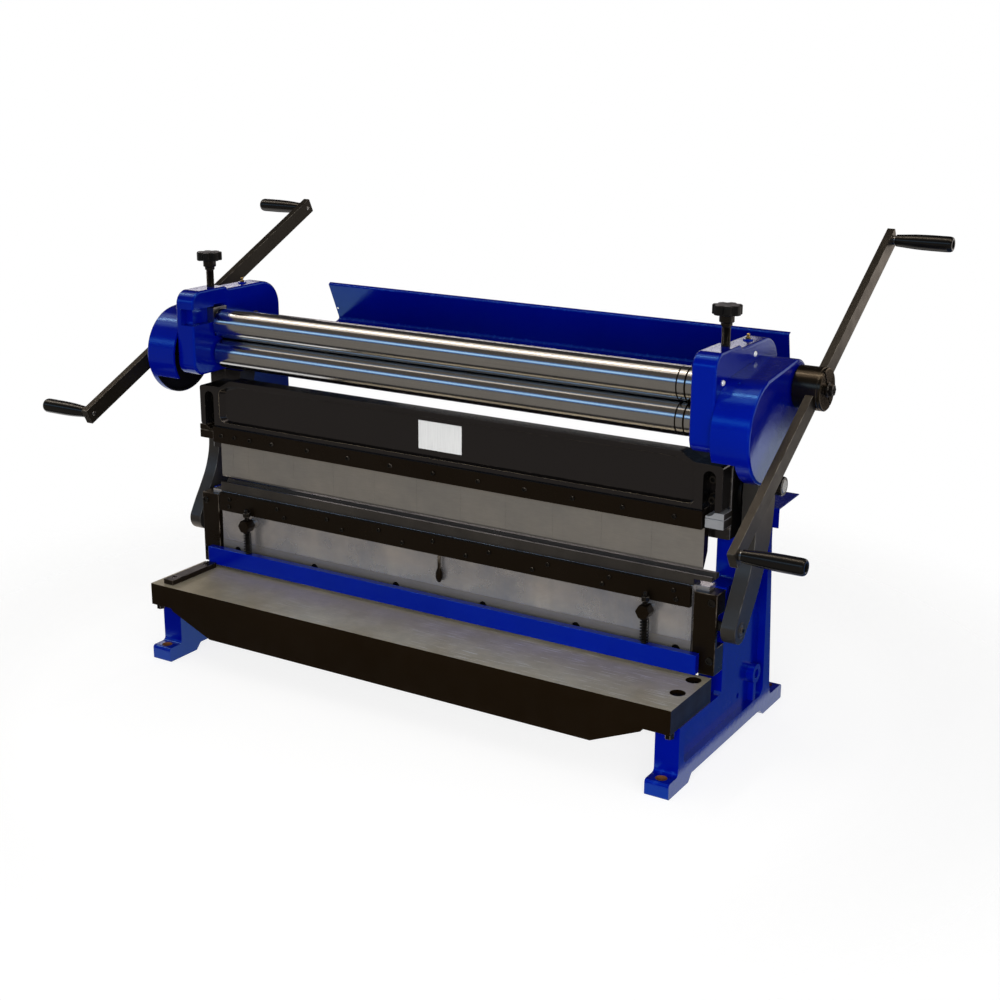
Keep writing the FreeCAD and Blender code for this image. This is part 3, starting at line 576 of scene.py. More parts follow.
# maker, name and values of each finish
FINISHES = [
    # blue paint: its last colour, a lighter blue on the edges, is a painted edge highlight
    (paint, "blue_paint", (0.0002, 0.0045, 0.27), (0.0001, 0.003, 0.21), 0.13, 0.34, (0.08, 0.5, 1.0),
     (0.012, 0.05, 0.42)),
    (paint, "black_gloss_paint", (0.004, 0.0035, 0.0035), (0.003, 0.0026, 0.0026), 0.14, 0.15,
     (0.95, 0.88, 0.9), (0.10, 0.085, 0.07)),
    (dark_metal, "brown_black_paint", (0.0055, 0.003, 0.001), (0.008, 0.0045, 0.002), 0.36, 0.0,
     (0.12, 0.10, 0.08), (0.6, 0.4, 0.22)),
    (dark_metal, "blackened_steel", (0.0032, 0.002, 0.001), (0.006, 0.004, 0.0025), 0.3, 0.0,
     (0.12, 0.10, 0.08), (0.5, 0.36, 0.24)),
    (dark_metal, "link_steel", (0.055, 0.051, 0.047), (0.075, 0.069, 0.063), 0.34, 0.7,
     (0.20, 0.19, 0.17)),
    (dark_metal, "crank_dark_steel", (0.015, 0.0125, 0.009), (0.025, 0.021, 0.016), 0.34, 0.5,
     (0.20, 0.185, 0.16)),
    (dark_metal, "hub_black", (0.045, 0.036, 0.026), (0.06, 0.047, 0.034), 0.2, 0.95, (0.20, 0.17, 0.13)),
    (steel, "ground_steel", (0.48, 0.44, 0.39), (0.40, 0.37, 0.33), 0.38, (40, 40, 700), 0.08, 0.3, 0.8),
    (steel, "die_steel", (0.12, 0.108, 0.096), (0.07, 0.062, 0.055), 0.3, (20, 700, 700), 0.08, 0.5, 0.8),
    # ram steel: the blue-grey second colour, mixed in as smears, is a painted reflection
    (steel, "ram_steel", (0.86, 0.79, 0.73), (0.38, 0.40, 0.48), 0.26, (420, 30, 12), 0.16, 0.4, 0.85),
    (steel, "table_top_steel", (0.70, 0.62, 0.455), (0.46, 0.41, 0.295), 0.38, (9, 420, 420), 0.12, 0.6,
     0.5, 0.9),
    (steel, "polished_roll_steel", (0.68, 0.67, 0.655), (0.62, 0.61, 0.595), 0.14, (4, 900, 900), 0.008,
     0.15),
    (steel, "plain_steel", (0.50, 0.49, 0.47), (0.36, 0.35, 0.33), 0.3, (200, 200, 200), 0.08),
    (steel, "zinc_block", (0.52, 0.53, 0.55), (0.40, 0.41, 0.43), 0.36, (120, 120, 120), 0.15, 0.5, 0.5),
    (steel, "spring_steel", (0.05, 0.045, 0.04), (0.025, 0.022, 0.02), 0.26, (200, 200, 200), 0.05),
    (dark_metal, "black_screws", (0.003, 0.0025, 0.002), (0.006, 0.005, 0.004), 0.2, 0.2,
     (0.16, 0.14, 0.12)),
    (dark_metal, "knob_plastic", (0.003, 0.003, 0.003), (0.005, 0.005, 0.005), 0.42, 0.0,
     (0.012, 0.012, 0.012), (0.5, 0.45, 0.4)),
    (steel, "brass", (0.70, 0.50, 0.18), (0.45, 0.30, 0.10), 0.26, (300, 300, 300), 0.05),
    (dark_metal, "black_phenolic", (0.003, 0.003, 0.003), (0.005, 0.005, 0.005), 0.16, 0.0,
     (0.012, 0.012, 0.012), (0.7, 0.62, 0.52)),
    # cream line on the beam's recess edge: a painted highlight
    (steel, "worn_edge", (0.36, 0.29, 0.19), (0.05, 0.04, 0.03), 0.45, (60, 60, 60), 0.1, 0.3, 0.0),
    # near-white for the cover screws' heads: a painted glint
    (steel, "bright_zinc", (0.92, 0.92, 0.92), (0.80, 0.80, 0.80), 0.3, (120, 120, 120), 0.05, 0.2, 0.3),
    (steel, "rusty_bore", (0.26, 0.10, 0.035), (0.10, 0.035, 0.012), 0.7, (90, 90, 90), 0.3, 0.6, 0.1),
    # near-black for the inside of the gear covers: painted shade
    (dark_metal, "greased_casting", (0.003, 0.003, 0.005), (0.006, 0.006, 0.009), 0.5, 0.0,
     (0.01, 0.01, 0.012), (0.3, 0.3, 0.3)),
    (steel, "label_aluminium", (0.82, 0.82, 0.81), (0.76, 0.76, 0.75), 0.5, (600, 20, 20), 0.04, 0.1,
     0.0),
]
MATS = {name: make(name, *values) for make, name, *values in FINISHES}


def mark_edges(mesh):
    """Marks the narrow faces that break an edge, for the wear and the painted edge highlights in the
    materials.
    """
    marks = []
    for poly in mesh.polygons:
        points = [mesh.vertices[i].co for i in poly.vertices]
        longest = max((a - b).length for a, b in zip(points, points[1:] + points[:1]))
        width = poly.area / max(longest, 1e-9)
        marks.append(1.0 if width < 1.0 * MM and longest > 3 * width else 0.0)
    layer = mesh.attributes.new("edge", "FLOAT", "FACE")
    layer.data.foreach_set("value", marks)


def dress(name, ob, material, body, node=None):
    """Name, finish, body and replaced CAD node of one piece."""
    ob.name = name
    flat = ob.modifiers.new("normals", "WEIGHTED_NORMAL")
    flat.keep_sharp = True
    applied(ob)
    mark_edges(ob.data)
    ob.data.materials.clear()
    ob.data.materials.append(MATS[material])
    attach(ob, body)
    if node:
        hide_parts(node)
    return ob


def refinish(ob, material, chosen):
    """Gives the faces that the test picks another finish."""
    ob.data.materials.append(MATS[material])
    for poly in ob.data.polygons:
        if chosen(poly):
            poly.material_index = len(ob.data.materials) - 1


def faces_sideways(poly):
    return abs(poly.normal.x) > 0.9


# ---------------- stand


def side_frame():
    foot = [(-259, 0, 3), (-177, 0, 2), (-164, 14, 6), (150, 14, 6), (168, 0, 2), (261, 0, 3), (261, 30, 6)]
    rear = [(199, 30, 10), (194, 52, 14), (172, 293, 80), (165, 360, 80), (160, HOUS_BOTTOM)]
    front = [(13, HOUS_BOTTOM), (13, 327, 4), (-46, 327, 3), (-46, 122), (-222, 122), (-222, 30, 8)]
    ob = prism(rounded(foot + rear + front + [(-259, 30, 6)]), "x", FRAME_IN, FRAME_OUT)
    wide = [
        (-200, 46, 12), (160, 46, 18), (149, 402, 30), (36, 402, 22), (12, 318, 24), (-26, 300, 18),
        (-30, 140, 38), (-70, 106, 22), (-200, 106, 12)
    ]
    pocket = prism(rounded(wide), "x", FRAME_THIN, FRAME_OUT + 1)
    upper = block(FRAME_THIN, FRAME_OUT + 1, -60, 200, 417, HOUS_BOTTOM + 1)
    cut(ob, pocket, upper)
    boss = rod("x", BOSS_Y, BOSS_Z, 19, FRAME_THIN - 1, FRAME_OUT, 48)
    rib = block(FRAME_THIN - 1, FRAME_OUT - 3, BOSS_Y - 6, BOSS_Y + 6, 40, BOSS_Z)
    fuse(ob, boss, rib)
    cuts = [
        rod("x", BOSS_Y, BOSS_Z, 9, *THROUGH, 32), rod("x", TIE_Y, TIE_Z, 5.5, *THROUGH, 24),
        rod(*ECC_AXIS, 25, *THROUGH)
    ]
    for y in (-FOOT_HOLE_Y, FOOT_HOLE_Y):
        cuts.append(rod("z", FOOT_HOLE_X, y, FOOT_HOLE_R, -1, 31, 32))
    cuts.append(block(563, FRAME_THIN + 1, REAR_Y - 14, REAR_Y + 14, 545, HOUS_BOTTOM + 1))
    cut(ob, *cuts)
    return edged(ob, 2.2, 3)


def in_foot_hole(poly):
    off_centre = math.hypot(abs(poly.center.x) - FOOT_HOLE_X * MM, abs(poly.center.y) - FOOT_HOLE_Y * MM)
    return abs(poly.normal.z) < 0.5 and off_centre < (FOOT_HOLE_R + 0.5) * MM


for word, ob in left_and_right(side_frame()):
    dress(word + "_side_frame_cast", ob, "blue_paint", "stand", word + "_side_frame")
    refinish(ob, "rusty_bore", in_foot_hole)


def end_bracket():
    pts = [
        (556, -44, 4), (FRAME_OUT, -44, 5), (FRAME_OUT, 100, 6), (FRAME_THIN + 0.3, 100),
        (FRAME_THIN + 0.3, 12.7), (556, 12.7)
    ]
    ob = prism(rounded(pts), "z", 417, HOUS_BOTTOM)
    foot = [(516, HOUS_BOTTOM), (558, HOUS_BOTTOM), (558, 545), (524, 545, 6)]
    fuse(ob, prism(rounded(foot), "y", -43.9, 4))
    cut(ob, rod(*ECC_AXIS, 25, *THROUGH), *[rod("y", SLOT_X, z, 6, -50, 0, 24) for z in BEAM_BOLT_Z])
    return edged(ob, 1.0)


for word, ob in left_and_right(end_bracket()):
    dress(word + "_end_bracket_cast", ob, "black_gloss_paint", "stand", word + "_end_bracket")


def table():
    ob = block(-TABLE_HALF, TABLE_HALF, TABLE_FRONT, TABLE_BACK, TABLE_TOP - 46, TABLE_TOP)
    low = TABLE_TOP - 94
    top = TABLE_TOP - 10
    apron = prism(
        [(-549, 124), (-543, 116), (-444, low), (444, low), (543, 116), (549, 124), (549, top),
            (-549, top)], "y", TABLE_FRONT, TABLE_FRONT + 34
    )
    back = prism(
        [(-540, 116), (-470, 96), (470, 96), (540, 116), (540, top), (-540, top)], "y", TABLE_BACK - 30,
        TABLE_BACK
    )
    fuse(ob, apron, back)
    cuts = []
    for x, y in TABLE_SCREWS:
        cuts.append(rod("z", x, y, 14.4, TABLE_TOP - 14, TABLE_TOP + 1, 40))
        cuts.append(rod("z", x, y, 7, 100, TABLE_TOP, 24))
    cut(ob, *cuts)
    edged(ob, 1.6, 3)
    dress("table_cast", ob, "brown_black_paint", "stand", "table")
    refinish(ob, "table_top_steel", lambda poly: poly.normal.z > 0.6 and poly.center.z > (TABLE_TOP - 2) * MM)


table()


def hexagon(a, b, across):
    """Hexagon points with the given width across the flats."""
    return circle(a, b, across / math.sqrt(3), 6)


def cap_screw(axis, a, b, r, face, back):
    """Socket-head cap screw. face is the outer end and back is the seat."""
    way = 1.0 if back > face else -1.0
    profile = [
        (0, back), (r * 0.98, back), (r, back - way * 0.3), (r, face + way), (r * 0.86, face), (0, face)
    ]
    ob = lathe(profile, axis, a, b, 40)
    lo, hi = sorted((face - way, face + way * abs(back - face) * 0.55))
    cut(ob, prism(hexagon(a, b, r), axis, lo, hi))
    return smooth(ob, 30)


def table_screws():
    screws = [cap_screw("z", x, y, 10, TABLE_TOP - 5, TABLE_TOP - 14) for x, y in TABLE_SCREWS]
    nuts = [edged(prism(hexagon(x, -240, 15.6), "z", 109, 121.9), 0.8) for x in (-591, 591)]
    dress("table_bolts", join(screws + nuts), "black_screws", "stand", "table_screws")


table_screws()


def fence():
    ob = block(-575, -550, -245, -108, TABLE_TOP, TABLE_TOP + 11)
    cut(ob, *[rod("z", x, y, 5, TABLE_TOP + 5, TABLE_TOP + 12, 28) for x, y in FENCE_SCREWS])
    edged(ob, 1.1, 2)
    screws = [cap_screw("z", x, y, 4.4, TABLE_TOP + 10, TABLE_TOP + 5) for x, y in FENCE_SCREWS]
    dress("fence_bar", ob, "blackened_steel", "stand", "squaring_fence")
    dress("fence_screws", join(screws), "black_screws", "stand")


fence()

ob = block(-RAM_HALF, RAM_HALF, TABLE_BACK, RAM_FRONT - 0.3, 128, TABLE_TOP)
dress("lower_blade_bar", edged(ob, 0.4, 1), "ground_steel", "stand", "lower_blade")


def recess_highlight_faces(poly):
    """True for the faces along the bottom and left end of the beam's recess that get a painted highlight."""
    x, y, z = poly.center / MM
    if not (-79.98 < y < -77 and 481.5 < z < 556 and abs(x) < 551):
        return False
    return (z < 489 and 0.15 < poly.normal.z < 0.95) or (x < -535 and 0.25 < poly.normal.x < 0.95)


def beam():
    pts = [
        (-600, 476, 5), (600, 476, 5), (600, 560, 6), (545, 561, 14), (517, 577, 12), (-517, 577, 12),
        (-545, 561, 14), (-600, 560, 6)
    ]
    ob = prism(rounded(pts), "y", -80, -44.2)
    rim = rounded(
        [(-548, 485, 16), (546, 485, 8), (546, 554, 8), (510, 567, 10), (-510, 567, 10), (-548, 554, 16)]
    )
    floor = rounded(
        [(-538, 488, 12), (543, 488, 7), (543, 551.2, 7), (509.5, 563.3, 9), (-502.63, 563.3, 9),
            (-538, 551.2, 12)]
    )
    cuts = [prism(rim, "y", -80.01, -70, floor)]
    for x in (-SLOT_X, SLOT_X):
        slot = rounded([(x - 12, 466), (x + 12, 466), (x + 12, 549, 11.9), (x - 12, 549, 11.9)])
        cuts.append(prism(slot, "y", -81, -43))
    cut(ob, *cuts)
    edged(ob, 2.6, 3, 22)
    dress("beam_cast", ob, "black_gloss_paint", "stand", "upper_beam")
    # Painted highlight: a cream line along the lower and left edges of the recess.
    refinish(ob, "worn_edge", recess_highlight_faces)


beam()


def beam_bolts():
    parts = []
    for x in (-SLOT_X, SLOT_X):
        for z in BEAM_BOLT_Z:
            parts.append(cap_screw("y", x, z, 8, -66, -54))
            washer = [(5.5, -54), (11, -54), (11.3, -53.6), (11.3, -45), (5.5, -45)]
            parts.append(smooth(lathe(washer, "y", x, z, 32)))
            parts.append(smooth(rod("y", x, z, 5.9, -54, -6, 24)))
    dress("beam_bolt_set", join(parts), "black_screws", "stand", "beam_bolts")


beam_bolts()


def beam_blocks():
    upper = [
        (569, 462.8, 1), (605, 462.8, 1), (605, 474.5, 1), (587, 474.5), (583, 470, 3), (575, 466, 6),
        (569, 468, 2)
    ]
    lower = [(569, 445, 2), (605, 445, 2), (605, 462.2, 1), (569, 462.2, 1)]
    parts = [edged(prism(rounded(pts), "y", -79, -44.3), 0.8) for pts in (upper, lower)]
    ob = both_sides(join(parts))
    dress("beam_block_set", ob, "zinc_block", "stand", "beam_blocks")
    # Painted shade: the blocks' side faces, and the whole left-hand pair, get the near-black finish.
    refinish(ob, "blackened_steel", lambda poly: faces_sideways(poly) or poly.center.x < 0)


beam_blocks()

ob = block(-563, 566, -86, -68.2, 441, 475.7)
dress("finger_clamp_bar_steel", edged(ob, 1.4, 2), "blackened_steel", "stand", "finger_clamp_bar")

PUNCH_GAP = 0.12
CLAMP_SCREW_X = [-540, -504, -462, -404] + [513 - 103 * i for i in range(8, -1, -1)]


def screw_row(name, screws, r, seat, proud, body, node):
    """A row of socket screws with their heads standing out of a bar's front face."""
    parts = [cap_screw("y", x, z, r, seat - proud, seat) for x, z in screws]
    dress(name, join(parts), "black_screws", body, node)


screw_row("clamp_screw_row", [(x, 458) for x in CLAMP_SCREW_X], 4.6, -86, 3.5, "stand", "clamp_screws")


def punches():
    edges = [-557.5, -524.5, -483.5, -442.5, -362.5] + [-362.5 + 103 * (i + 1) for i in range(9)]
    side = rounded(
        [(-68, 475.7), (-68, 366, 3), (-65.5, 361, 0.8), (-60, 371, 3), (-50, 392, 12), (-48, 475.7)]
    )
    ends = zip(edges[:-1], edges[1:])
    parts = [edged(prism(side, "x", a + PUNCH_GAP / 2, b - PUNCH_GAP / 2), 0.12, 1) for a, b in ends]
    ob = dress("finger_punch_set", join(parts), "ground_steel", "stand", "finger_punches")
    refinish(ob, "blackened_steel", faces_sideways)


punches()

ob = block(-46, 54, -71, -69.9, 499, 556)
dress("blank_label", edged(ob, 0.35, 1), "label_aluminium", "stand", "label_plate")


def guides():
    ob = block(557, FRAME_OUT, -85, -73, 170, 325)
    fuse(ob, block(582.3, FRAME_OUT, -73.2, -46, 170, 325))
    cut(ob, block(580, 610, -76, -40, 222, 284))
    edged(ob, 1.8, 3)
    ob = both_sides(ob)
    dress("ram_guide_pair", ob, "blackened_steel", "stand", "ram_guides")
    screws = [cap_screw("y", x, z, 7.6, -88, -85) for x in (-592, 592) for z in (198, 309)]
    dress("guide_screw_set", join(screws), "black_screws", "stand", "guide_screws")


guides()


def housing(word):
    pts = [
        (HOUS_FRONT, HOUS_BOTTOM, 26), (HOUS_FRONT, HOUS_TOP + 6, 28), (-33, HOUS_TOP + 6, 5),
        (-24, HOUS_TOP, 5), (HOUS_BACK, HOUS_TOP, 56), (HOUS_BACK, HOUS_BOTTOM, 8)
    ]
    ob = prism(rounded(pts, 5.0), "x", HOUS_IN, HOUS_OUT)
    edged(ob, 4.5, 4, 40)
    fuse(ob, rod("z", 581, 48, 9, HOUS_TOP - 3, HOUS_TOP + 2.5, 32))
    low = ROLL_Y - 14.5
    high = ROLL_Y + 14.5
    slot = rounded([(low, 678, 14.4), (high, 678, 14.4), (high, 710, 14.4), (low, 710, 14.4)])
    cuts = [
        rod(*LOWER_AXIS, 15.1, *THROUGH), rod(*CRANK_AXIS, CRANK_R + 3, *THROUGH),
        block(550, 597, ROLL_Y - 21, ROLL_Y + 21, 668, 734), prism(slot, "x", 590, 610),
        block(*THROUGH, REAR_Y - 20.3, REAR_Y + 20.3, 597, 668),
        rod("z", KNOB_X, ROLL_Y, 8.1, 730, 780, 32), rod("z", STUD_X, REAR_Y, 6.1, 590, 600, 24)
    ]
    if word == "left":
        notch = rounded([(HOUS_FRONT - 6, 697), (-118, 697, 5), (-118, 731, 8), (HOUS_FRONT - 6, 731)])
        cuts.append(prism(notch, "x", 550, HOUS_OUT - 12))
        cuts.append(block(550, HOUS_IN + 18, -124, ROLL_Y - 20.5, 697.5, 730.5))
    cut(ob, *cuts)
    ob = on_side(word, edged(ob, 0.8, 2, 50))
    dress(word + "_housing_cast", ob, "blue_paint", "stand", word + "_roll_housing")


housing("right")
housing("left")


def cover_outline(shrink=0.0):
    """Two arcs, round the lower roll and the crank shaft, joined by tangents."""
    dy = CRANK_Y - COVER_Y
    dz = CRANK_Z - COVER_Z
    line = math.atan2(dz, dy)
    lean = math.acos((COVER_R - COVER_CRANK_R) / math.hypot(dy, dz))
    pts = []
    for k in range(31):
        a = line - lean + 2 * lean * k / 30
        pts.append(polar(CRANK_Y, CRANK_Z, COVER_CRANK_R - shrink, a))
    for k in range(61):
        a = line + lean + 2 * (math.pi - lean) * k / 60
        pts.append(polar(COVER_Y, COVER_Z, COVER_R - shrink, a))
    return pts


def in_cover(poly):
    """True for the faces of the hollow in a gear cover."""
    spot = Vector((poly.center.y, poly.center.z)) / MM
    pts = cover_outline(3.0)
    for a, b in zip(pts, pts[1:] + pts[:1]):
        if (b - a).cross(spot - a) < 0:
            return False
    return HOUS_OUT + 1 < abs(poly.center.x) / MM < COVER_SHELL


def gear_cover(word, outer, open_to):
    """Cast guard that is hollow towards the housing and cut open below on that side."""
    ob = edged(prism(cover_outline(), "x", HOUS_OUT - 10, outer), 5.0, 5, 30)
    cut(ob, block(HOUS_OUT - 20, HOUS_OUT, -300, 300, 400, 900))
    hollow = prism(cover_outline(5.0), "x", HOUS_OUT - 1, outer - 6)
    cut(ob, hollow, block(HOUS_OUT - 1, open_to, -160, 100, 520, 583))
    fuse(ob, rod(*CRANK_AXIS, 24, HOUS_OUT, outer - 5, 48), rod(*LOWER_AXIS, 26, HOUS_OUT, outer - 5, 48))
    tap = rod("z", 0, 0, 2.6, 0, 16, 20)
    place(tap, 627, -88.4, 702.7, (0, -0.364, 0.931))
    cut(ob, rod(*CRANK_AXIS, CRANK_R + 1.5, 600, 690, 40), rod(*LOWER_AXIS, 17, 600, 612, 40), tap)
    ob = on_side(word, edged(ob, 1.2, 3, 30))
    dress(word + "_cover_cast", ob, "blue_paint", "stand", word + "_gear_cover")
    # Painted shade: the faces of the hollow get a near-black finish.
    refinish(ob, "greased_casting", in_cover)


def place(ob, x, y, z, direction):
    """Moves a mesh that stands on the XY plane to a point, with its axis along direction."""
    turn = Vector((0, 0, 1)).rotation_difference(Vector(direction)).to_matrix().to_4x4()
    ob.data.transform(Matrix.Translation(Vector((x, y, z)) * MM) @ turn)
    return ob


gear_cover("right", 674.0, 645)
gear_cover("left", 677.0, 661)


def domed_screw(r, height):
    """Cross-slotted dome head standing on the XY plane at the origin, in millimetres."""
    profile = [(0, -1.0), (r * 0.9, -1.0), (r, 0.0)]
    for i in range(1, 6):
        a = math.radians(90.0 * i / 6)
        profile.append((r * math.cos(a), height * math.sin(a)))
    profile.append((0, height))
    ob = lathe(profile, "z", 0, 0, 36)
    cut(ob, block(-r, r, -0.7, 0.7, height - 1.4, height + 1))
    return smooth(ob, 35)


def cover_screws():
    places = ((-106, 714.5), (30, 741.5))
    ob = both_sides(join([place(domed_screw(5.2, 3.4), HOUS_OUT, y, z, (1, 0, 0)) for y, z in places]))
    # The near-white heads are a painted glint.
    dress("cover_screw_set", ob, "bright_zinc", "stand", "cover_screws")


cover_screws()


def nipples():
    profile = [
        (0, HOUS_TOP - 5), (3, HOUS_TOP - 5), (3, HOUS_TOP + 2.5), (4.3, HOUS_TOP + 2.5),
        (4.6, HOUS_TOP + 3), (4.6, HOUS_TOP + 5.2), (4.1, HOUS_TOP + 5.6), (2.4, HOUS_TOP + 6.2),
        (2.2, HOUS_TOP + 8), (3.2, HOUS_TOP + 9.2), (3.3, HOUS_TOP + 10.6), (2.2, HOUS_TOP + 12.0),
        (0, HOUS_TOP + 12.3)
    ]
    ob = smooth(lathe(profile, "z", 581, 48, 24))
    dress("nipple_pair", both_sides(ob), "brass", "stand", "grease_nipples")


nipples()


def chute():
    pts = [
        (163.2, 540), (163.2, 571.5, 6), (349, 641.5, 8), (317, 724.6, 2), (322.6, 727.6), (321.8, 729.2),
        (314.6, 725.4, 3), (346.4, 642.6, 6), (161.2, 573, 8), (161.2, 540)
    ]
    ob = prism(rounded(pts, 8.0), "x", -560, 560)
    rake = [(549.5, 530), (549.5, 641.5), (555.4, 732), (570, 732), (570, 530)]
    cuts = [prism(rake, "y", 150, 360), prism([(-x, z) for x, z in rake], "y", 150, 360)]
    for x in (-547, 547):
        hole = rod("z", 0, 0, 2.5, 0, 60, 24)
        cuts.append(place(hole, x, 310, 656.5, (0, 0.93, 0.36)))
    cut(ob, *cuts)
    dress("chute_sheet", edged(ob, 0.5, 2), "blue_paint", "stand", "rear_chute")


chute()


def shelf():
    pts = [(169.8, 383), (169.8, 420, 3), (269.2, 424), (269.2, 426), (168, 422, 3), (168, 383)]
    ob = prism(rounded(pts, 10.0), "x", -612, 612)
    pads = [block(x0, x1, 164.5, 168.2, 386, 416) for x0, x1 in ((559, 598), (-598, -559))]
    fuse(ob, *pads)
    dress("shelf_sheet", edged(ob, 0.5, 2), "blue_paint", "stand", "rear_shelf")


shelf()


def ties():
    parts = []
    for y, z, r in ((BOSS_Y, BOSS_Z, 17), (TIE_Y, TIE_Z, 12)):
        parts.append(pin("x", y, z, r, -FRAME_IN, FRAME_IN, 1, 40))
    dress("tie_bar_pair", join(parts), "plain_steel", "stand", "tie_bars")
    bolts = []
    for y, z, r in ((BOSS_Y, BOSS_Z, 8.8), (TIE_Y, TIE_Z, 5.3)):
        bolts.append(
            smooth(lathe([(0, FRAME_IN), (r, FRAME_IN), (r, FRAME_IN + 11), (r - 1, FRAME_IN + 12),
                (0, FRAME_IN + 12)], "x", y, z, 24))
        )
    dress("tie_bolt_set", both_sides(join(bolts)), "black_screws", "stand")


ties()

# ---------------- ram


def ram():
    ob = block(-RAM_HALF, RAM_HALF, RAM_FRONT, RAM_BACK, RAM_BOTTOM, RAM_TOP)
    fuse(
        ob, block(551, 581, -72.7, RAM_BACK, RAM_BOTTOM, RAM_TOP),
        block(-581, -551, -72.7, RAM_BACK, RAM_BOTTOM, RAM_TOP)
    )
    cut(ob, block(-RAM_HALF, RAM_HALF, RAM_FRONT - 1, -62, 190, 226))
    cuts = [rod(*RAM_PIN_AXIS, 9, a, b, 40) for a, b in ((540, 600), (-600, -540))]
    cuts = cuts + [rod("y", x, EYE_Z, 6, RAM_FRONT - 1, RAM_FRONT + 14, 28) for x in (-ROD_X, ROD_X)]
    cut(ob, *cuts)
    dress("ram_plate_steel", edged(ob, 0.8, 2), "ram_steel", "ram", "ram_plate")
    refinish(ob, "die_steel", lambda poly: poly.normal.z > 0.6 and abs(poly.center.x) > 551 * MM)
    pts = [
        (-80, RAM_TOP), (-47.5, RAM_TOP), (-47.5, DIE_TOP + 1.8), (-57, DIE_TOP + 1.8), (-65.5, 343),
        (-74, DIE_TOP), (-80, DIE_TOP)
    ]
    ob = prism(pts, "x", -RAM_HALF, 588)
    cut(ob, block(RAM_HALF + 1, 600, -90, -40, 320, 345.5))
    dress("v_die_bar", edged(ob, 0.7, 2), "die_steel", "ram", "v_die")
    ob = block(-550, RAM_HALF, -90, RAM_FRONT, 293, 333)
    dress("die_clamp_steel", edged(ob, 1.4, 2), "blackened_steel", "ram", "die_clamp_bar")
    face = [(-RAM_HALF, 174), (RAM_HALF, 182), (RAM_HALF, 226), (-RAM_HALF, 226)]
    ob = prism(face, "y", RAM_FRONT, -62)
    blade_screws = [(-512 + 207 * i, 205) for i in range(6)]
    cut(ob, *[rod("y", x, z, 9, RAM_FRONT - 1, RAM_FRONT + 8, 32) for x, z in blade_screws])
    dress("upper_blade_bar", edged(ob, 0.5, 1), "ground_steel", "ram", "upper_blade")
    rows = [(-521 + 130 * i, 321) for i in range(9)] + [(-523 + 149.7 * i, 305) for i in range(8)]
    screw_row("ram_screw_rows", rows, 4.6, -90, 3.0, "ram", "ram_screws")
    screw_row("blade_screw_row", blade_screws, 8, RAM_FRONT + 8, 7.4, "ram", None)


ram()


SPRING_FOOT = BAR_TOP + 1.4
SPRING_HEAD = EYE_Z - 14.0


def spring_set():
    eyes = []
    studs = []
    rods = []
    springs = []
    for x in (-ROD_X, ROD_X):
        hexed = prism(hexagon(x, EYE_Z, 25.1), "y", -112, -88)
        cut(hexed, rod("z", x, ROD_Y, 5.6, EYE_Z - 30, EYE_Z + 30, 24))
        eyes.append(edged(hexed, 1.6, 2))
        profile = [(0, -88), (9.5, -88), (9.5, -81), (9, -80), (6, -80), (6, -67), (0, -67)]
        studs.append(smooth(lathe(profile, "y", x, EYE_Z, 36)))
        foot = [(0, BAR_TOP - 20), (5, BAR_TOP - 20)]
        profile = foot + thread(5, 4.45, BAR_TOP + 2, 306) + [(5, 308), (4, 310), (0, 310)]
        rods.append(smooth(lathe(profile, "z", x, ROD_Y, 24), 60))
        rods.append(edged(prism(hexagon(x, ROD_Y, 14.7), "z", 293, 303), 1.2, 2))
        springs.append(helix(x, ROD_Y, SPRING_FOOT, SPRING_HEAD, 7.6, 1.2, 8.0))
    dress("spring_eye_pair", join(eyes), "blackened_steel", "ram", "spring_eyes")
    dress("eye_stud_pair", join(studs), "plain_steel", "ram")
    dress("hold_down_rod_pair", join(rods), "black_screws", "hold_down", "hold_down_rods")
    ob = join(springs)
    dress("spring_pair", ob, "spring_steel", "hold_down", "hold_down_springs")
    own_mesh(ob)


spring_set()


def centre_stud():
    profile = [
        (0, 238), (3.0, 238), (4.2, 240), (6.2, 244), (7.1, 247.5), (7.1, 256), (6.3, 259), (4.2, 265),
        (3.2, 268), (3.2, 293), (0, 293)
    ]
    ob = smooth(lathe(profile, "z", 12, -87.3, 28))
    dress("centre_stud_steel", ob, "blackened_steel", "ram", "centre_stud")


centre_stud()


def ram_pins():
    profile = [
        (0, 545), (9, 545), (9, LINK_OUT - 3), (13.2, LINK_OUT - 3), (14, LINK_OUT - 2.4),
        (14, LINK_OUT + 0.3), (13.4, LINK_OUT + 0.8), (11.8, LINK_OUT + 0.8), (11.6, LINK_OUT),
        (10.8, LINK_OUT), (10.6, LINK_OUT + 0.8), (0, LINK_OUT + 0.8)
    ]
    ob = smooth(lathe(profile, *RAM_PIN_AXIS, 48))
    dress("ram_pin_pair", both_sides(ob), "link_steel", "ram", "ram_pins")
    head = cap_screw(*RAM_PIN_AXIS, 5.5, LINK_OUT + 5, LINK_OUT + 0.8)
    dress("ram_pin_screws", both_sides(head), "black_screws", "ram")


ram_pins()


def hold_down():
    ob = block(-573, 575, -107, -91, BAR_BOTTOM, BAR_TOP)
    cut(ob, *[rod("z", x, ROD_Y, 5, BAR_TOP - 20, BAR_TOP + 1, 28) for x in (-ROD_X, ROD_X)])
    dress("hold_down_steel", edged(ob, 1.5, 3), "blue_paint", "hold_down", "hold_down_bar")


hold_down()

# ---------------- links and eccentric


def spline(points, steps=10):
    """Smooth curve through the points."""
    pts = [Vector(p) for p in points]
    pts = [pts[0] * 2 - pts[1]] + pts + [pts[-1] * 2 - pts[-2]]
    out = []
    for i in range(1, len(pts) - 2):
        p0, p1, p2, p3 = pts[i - 1:i + 3]
        for k in range(steps):
            t = k / steps
            out.append(0.5 * ((2 * p1) + (p2 - p0) * t + (2 * p0 - 5 * p1 + 4 * p2 - p3) * t * t
                              + (3 * p1 - p0 - 3 * p2 + p3) * t ** 3))
    out.append(pts[-2])
    return out


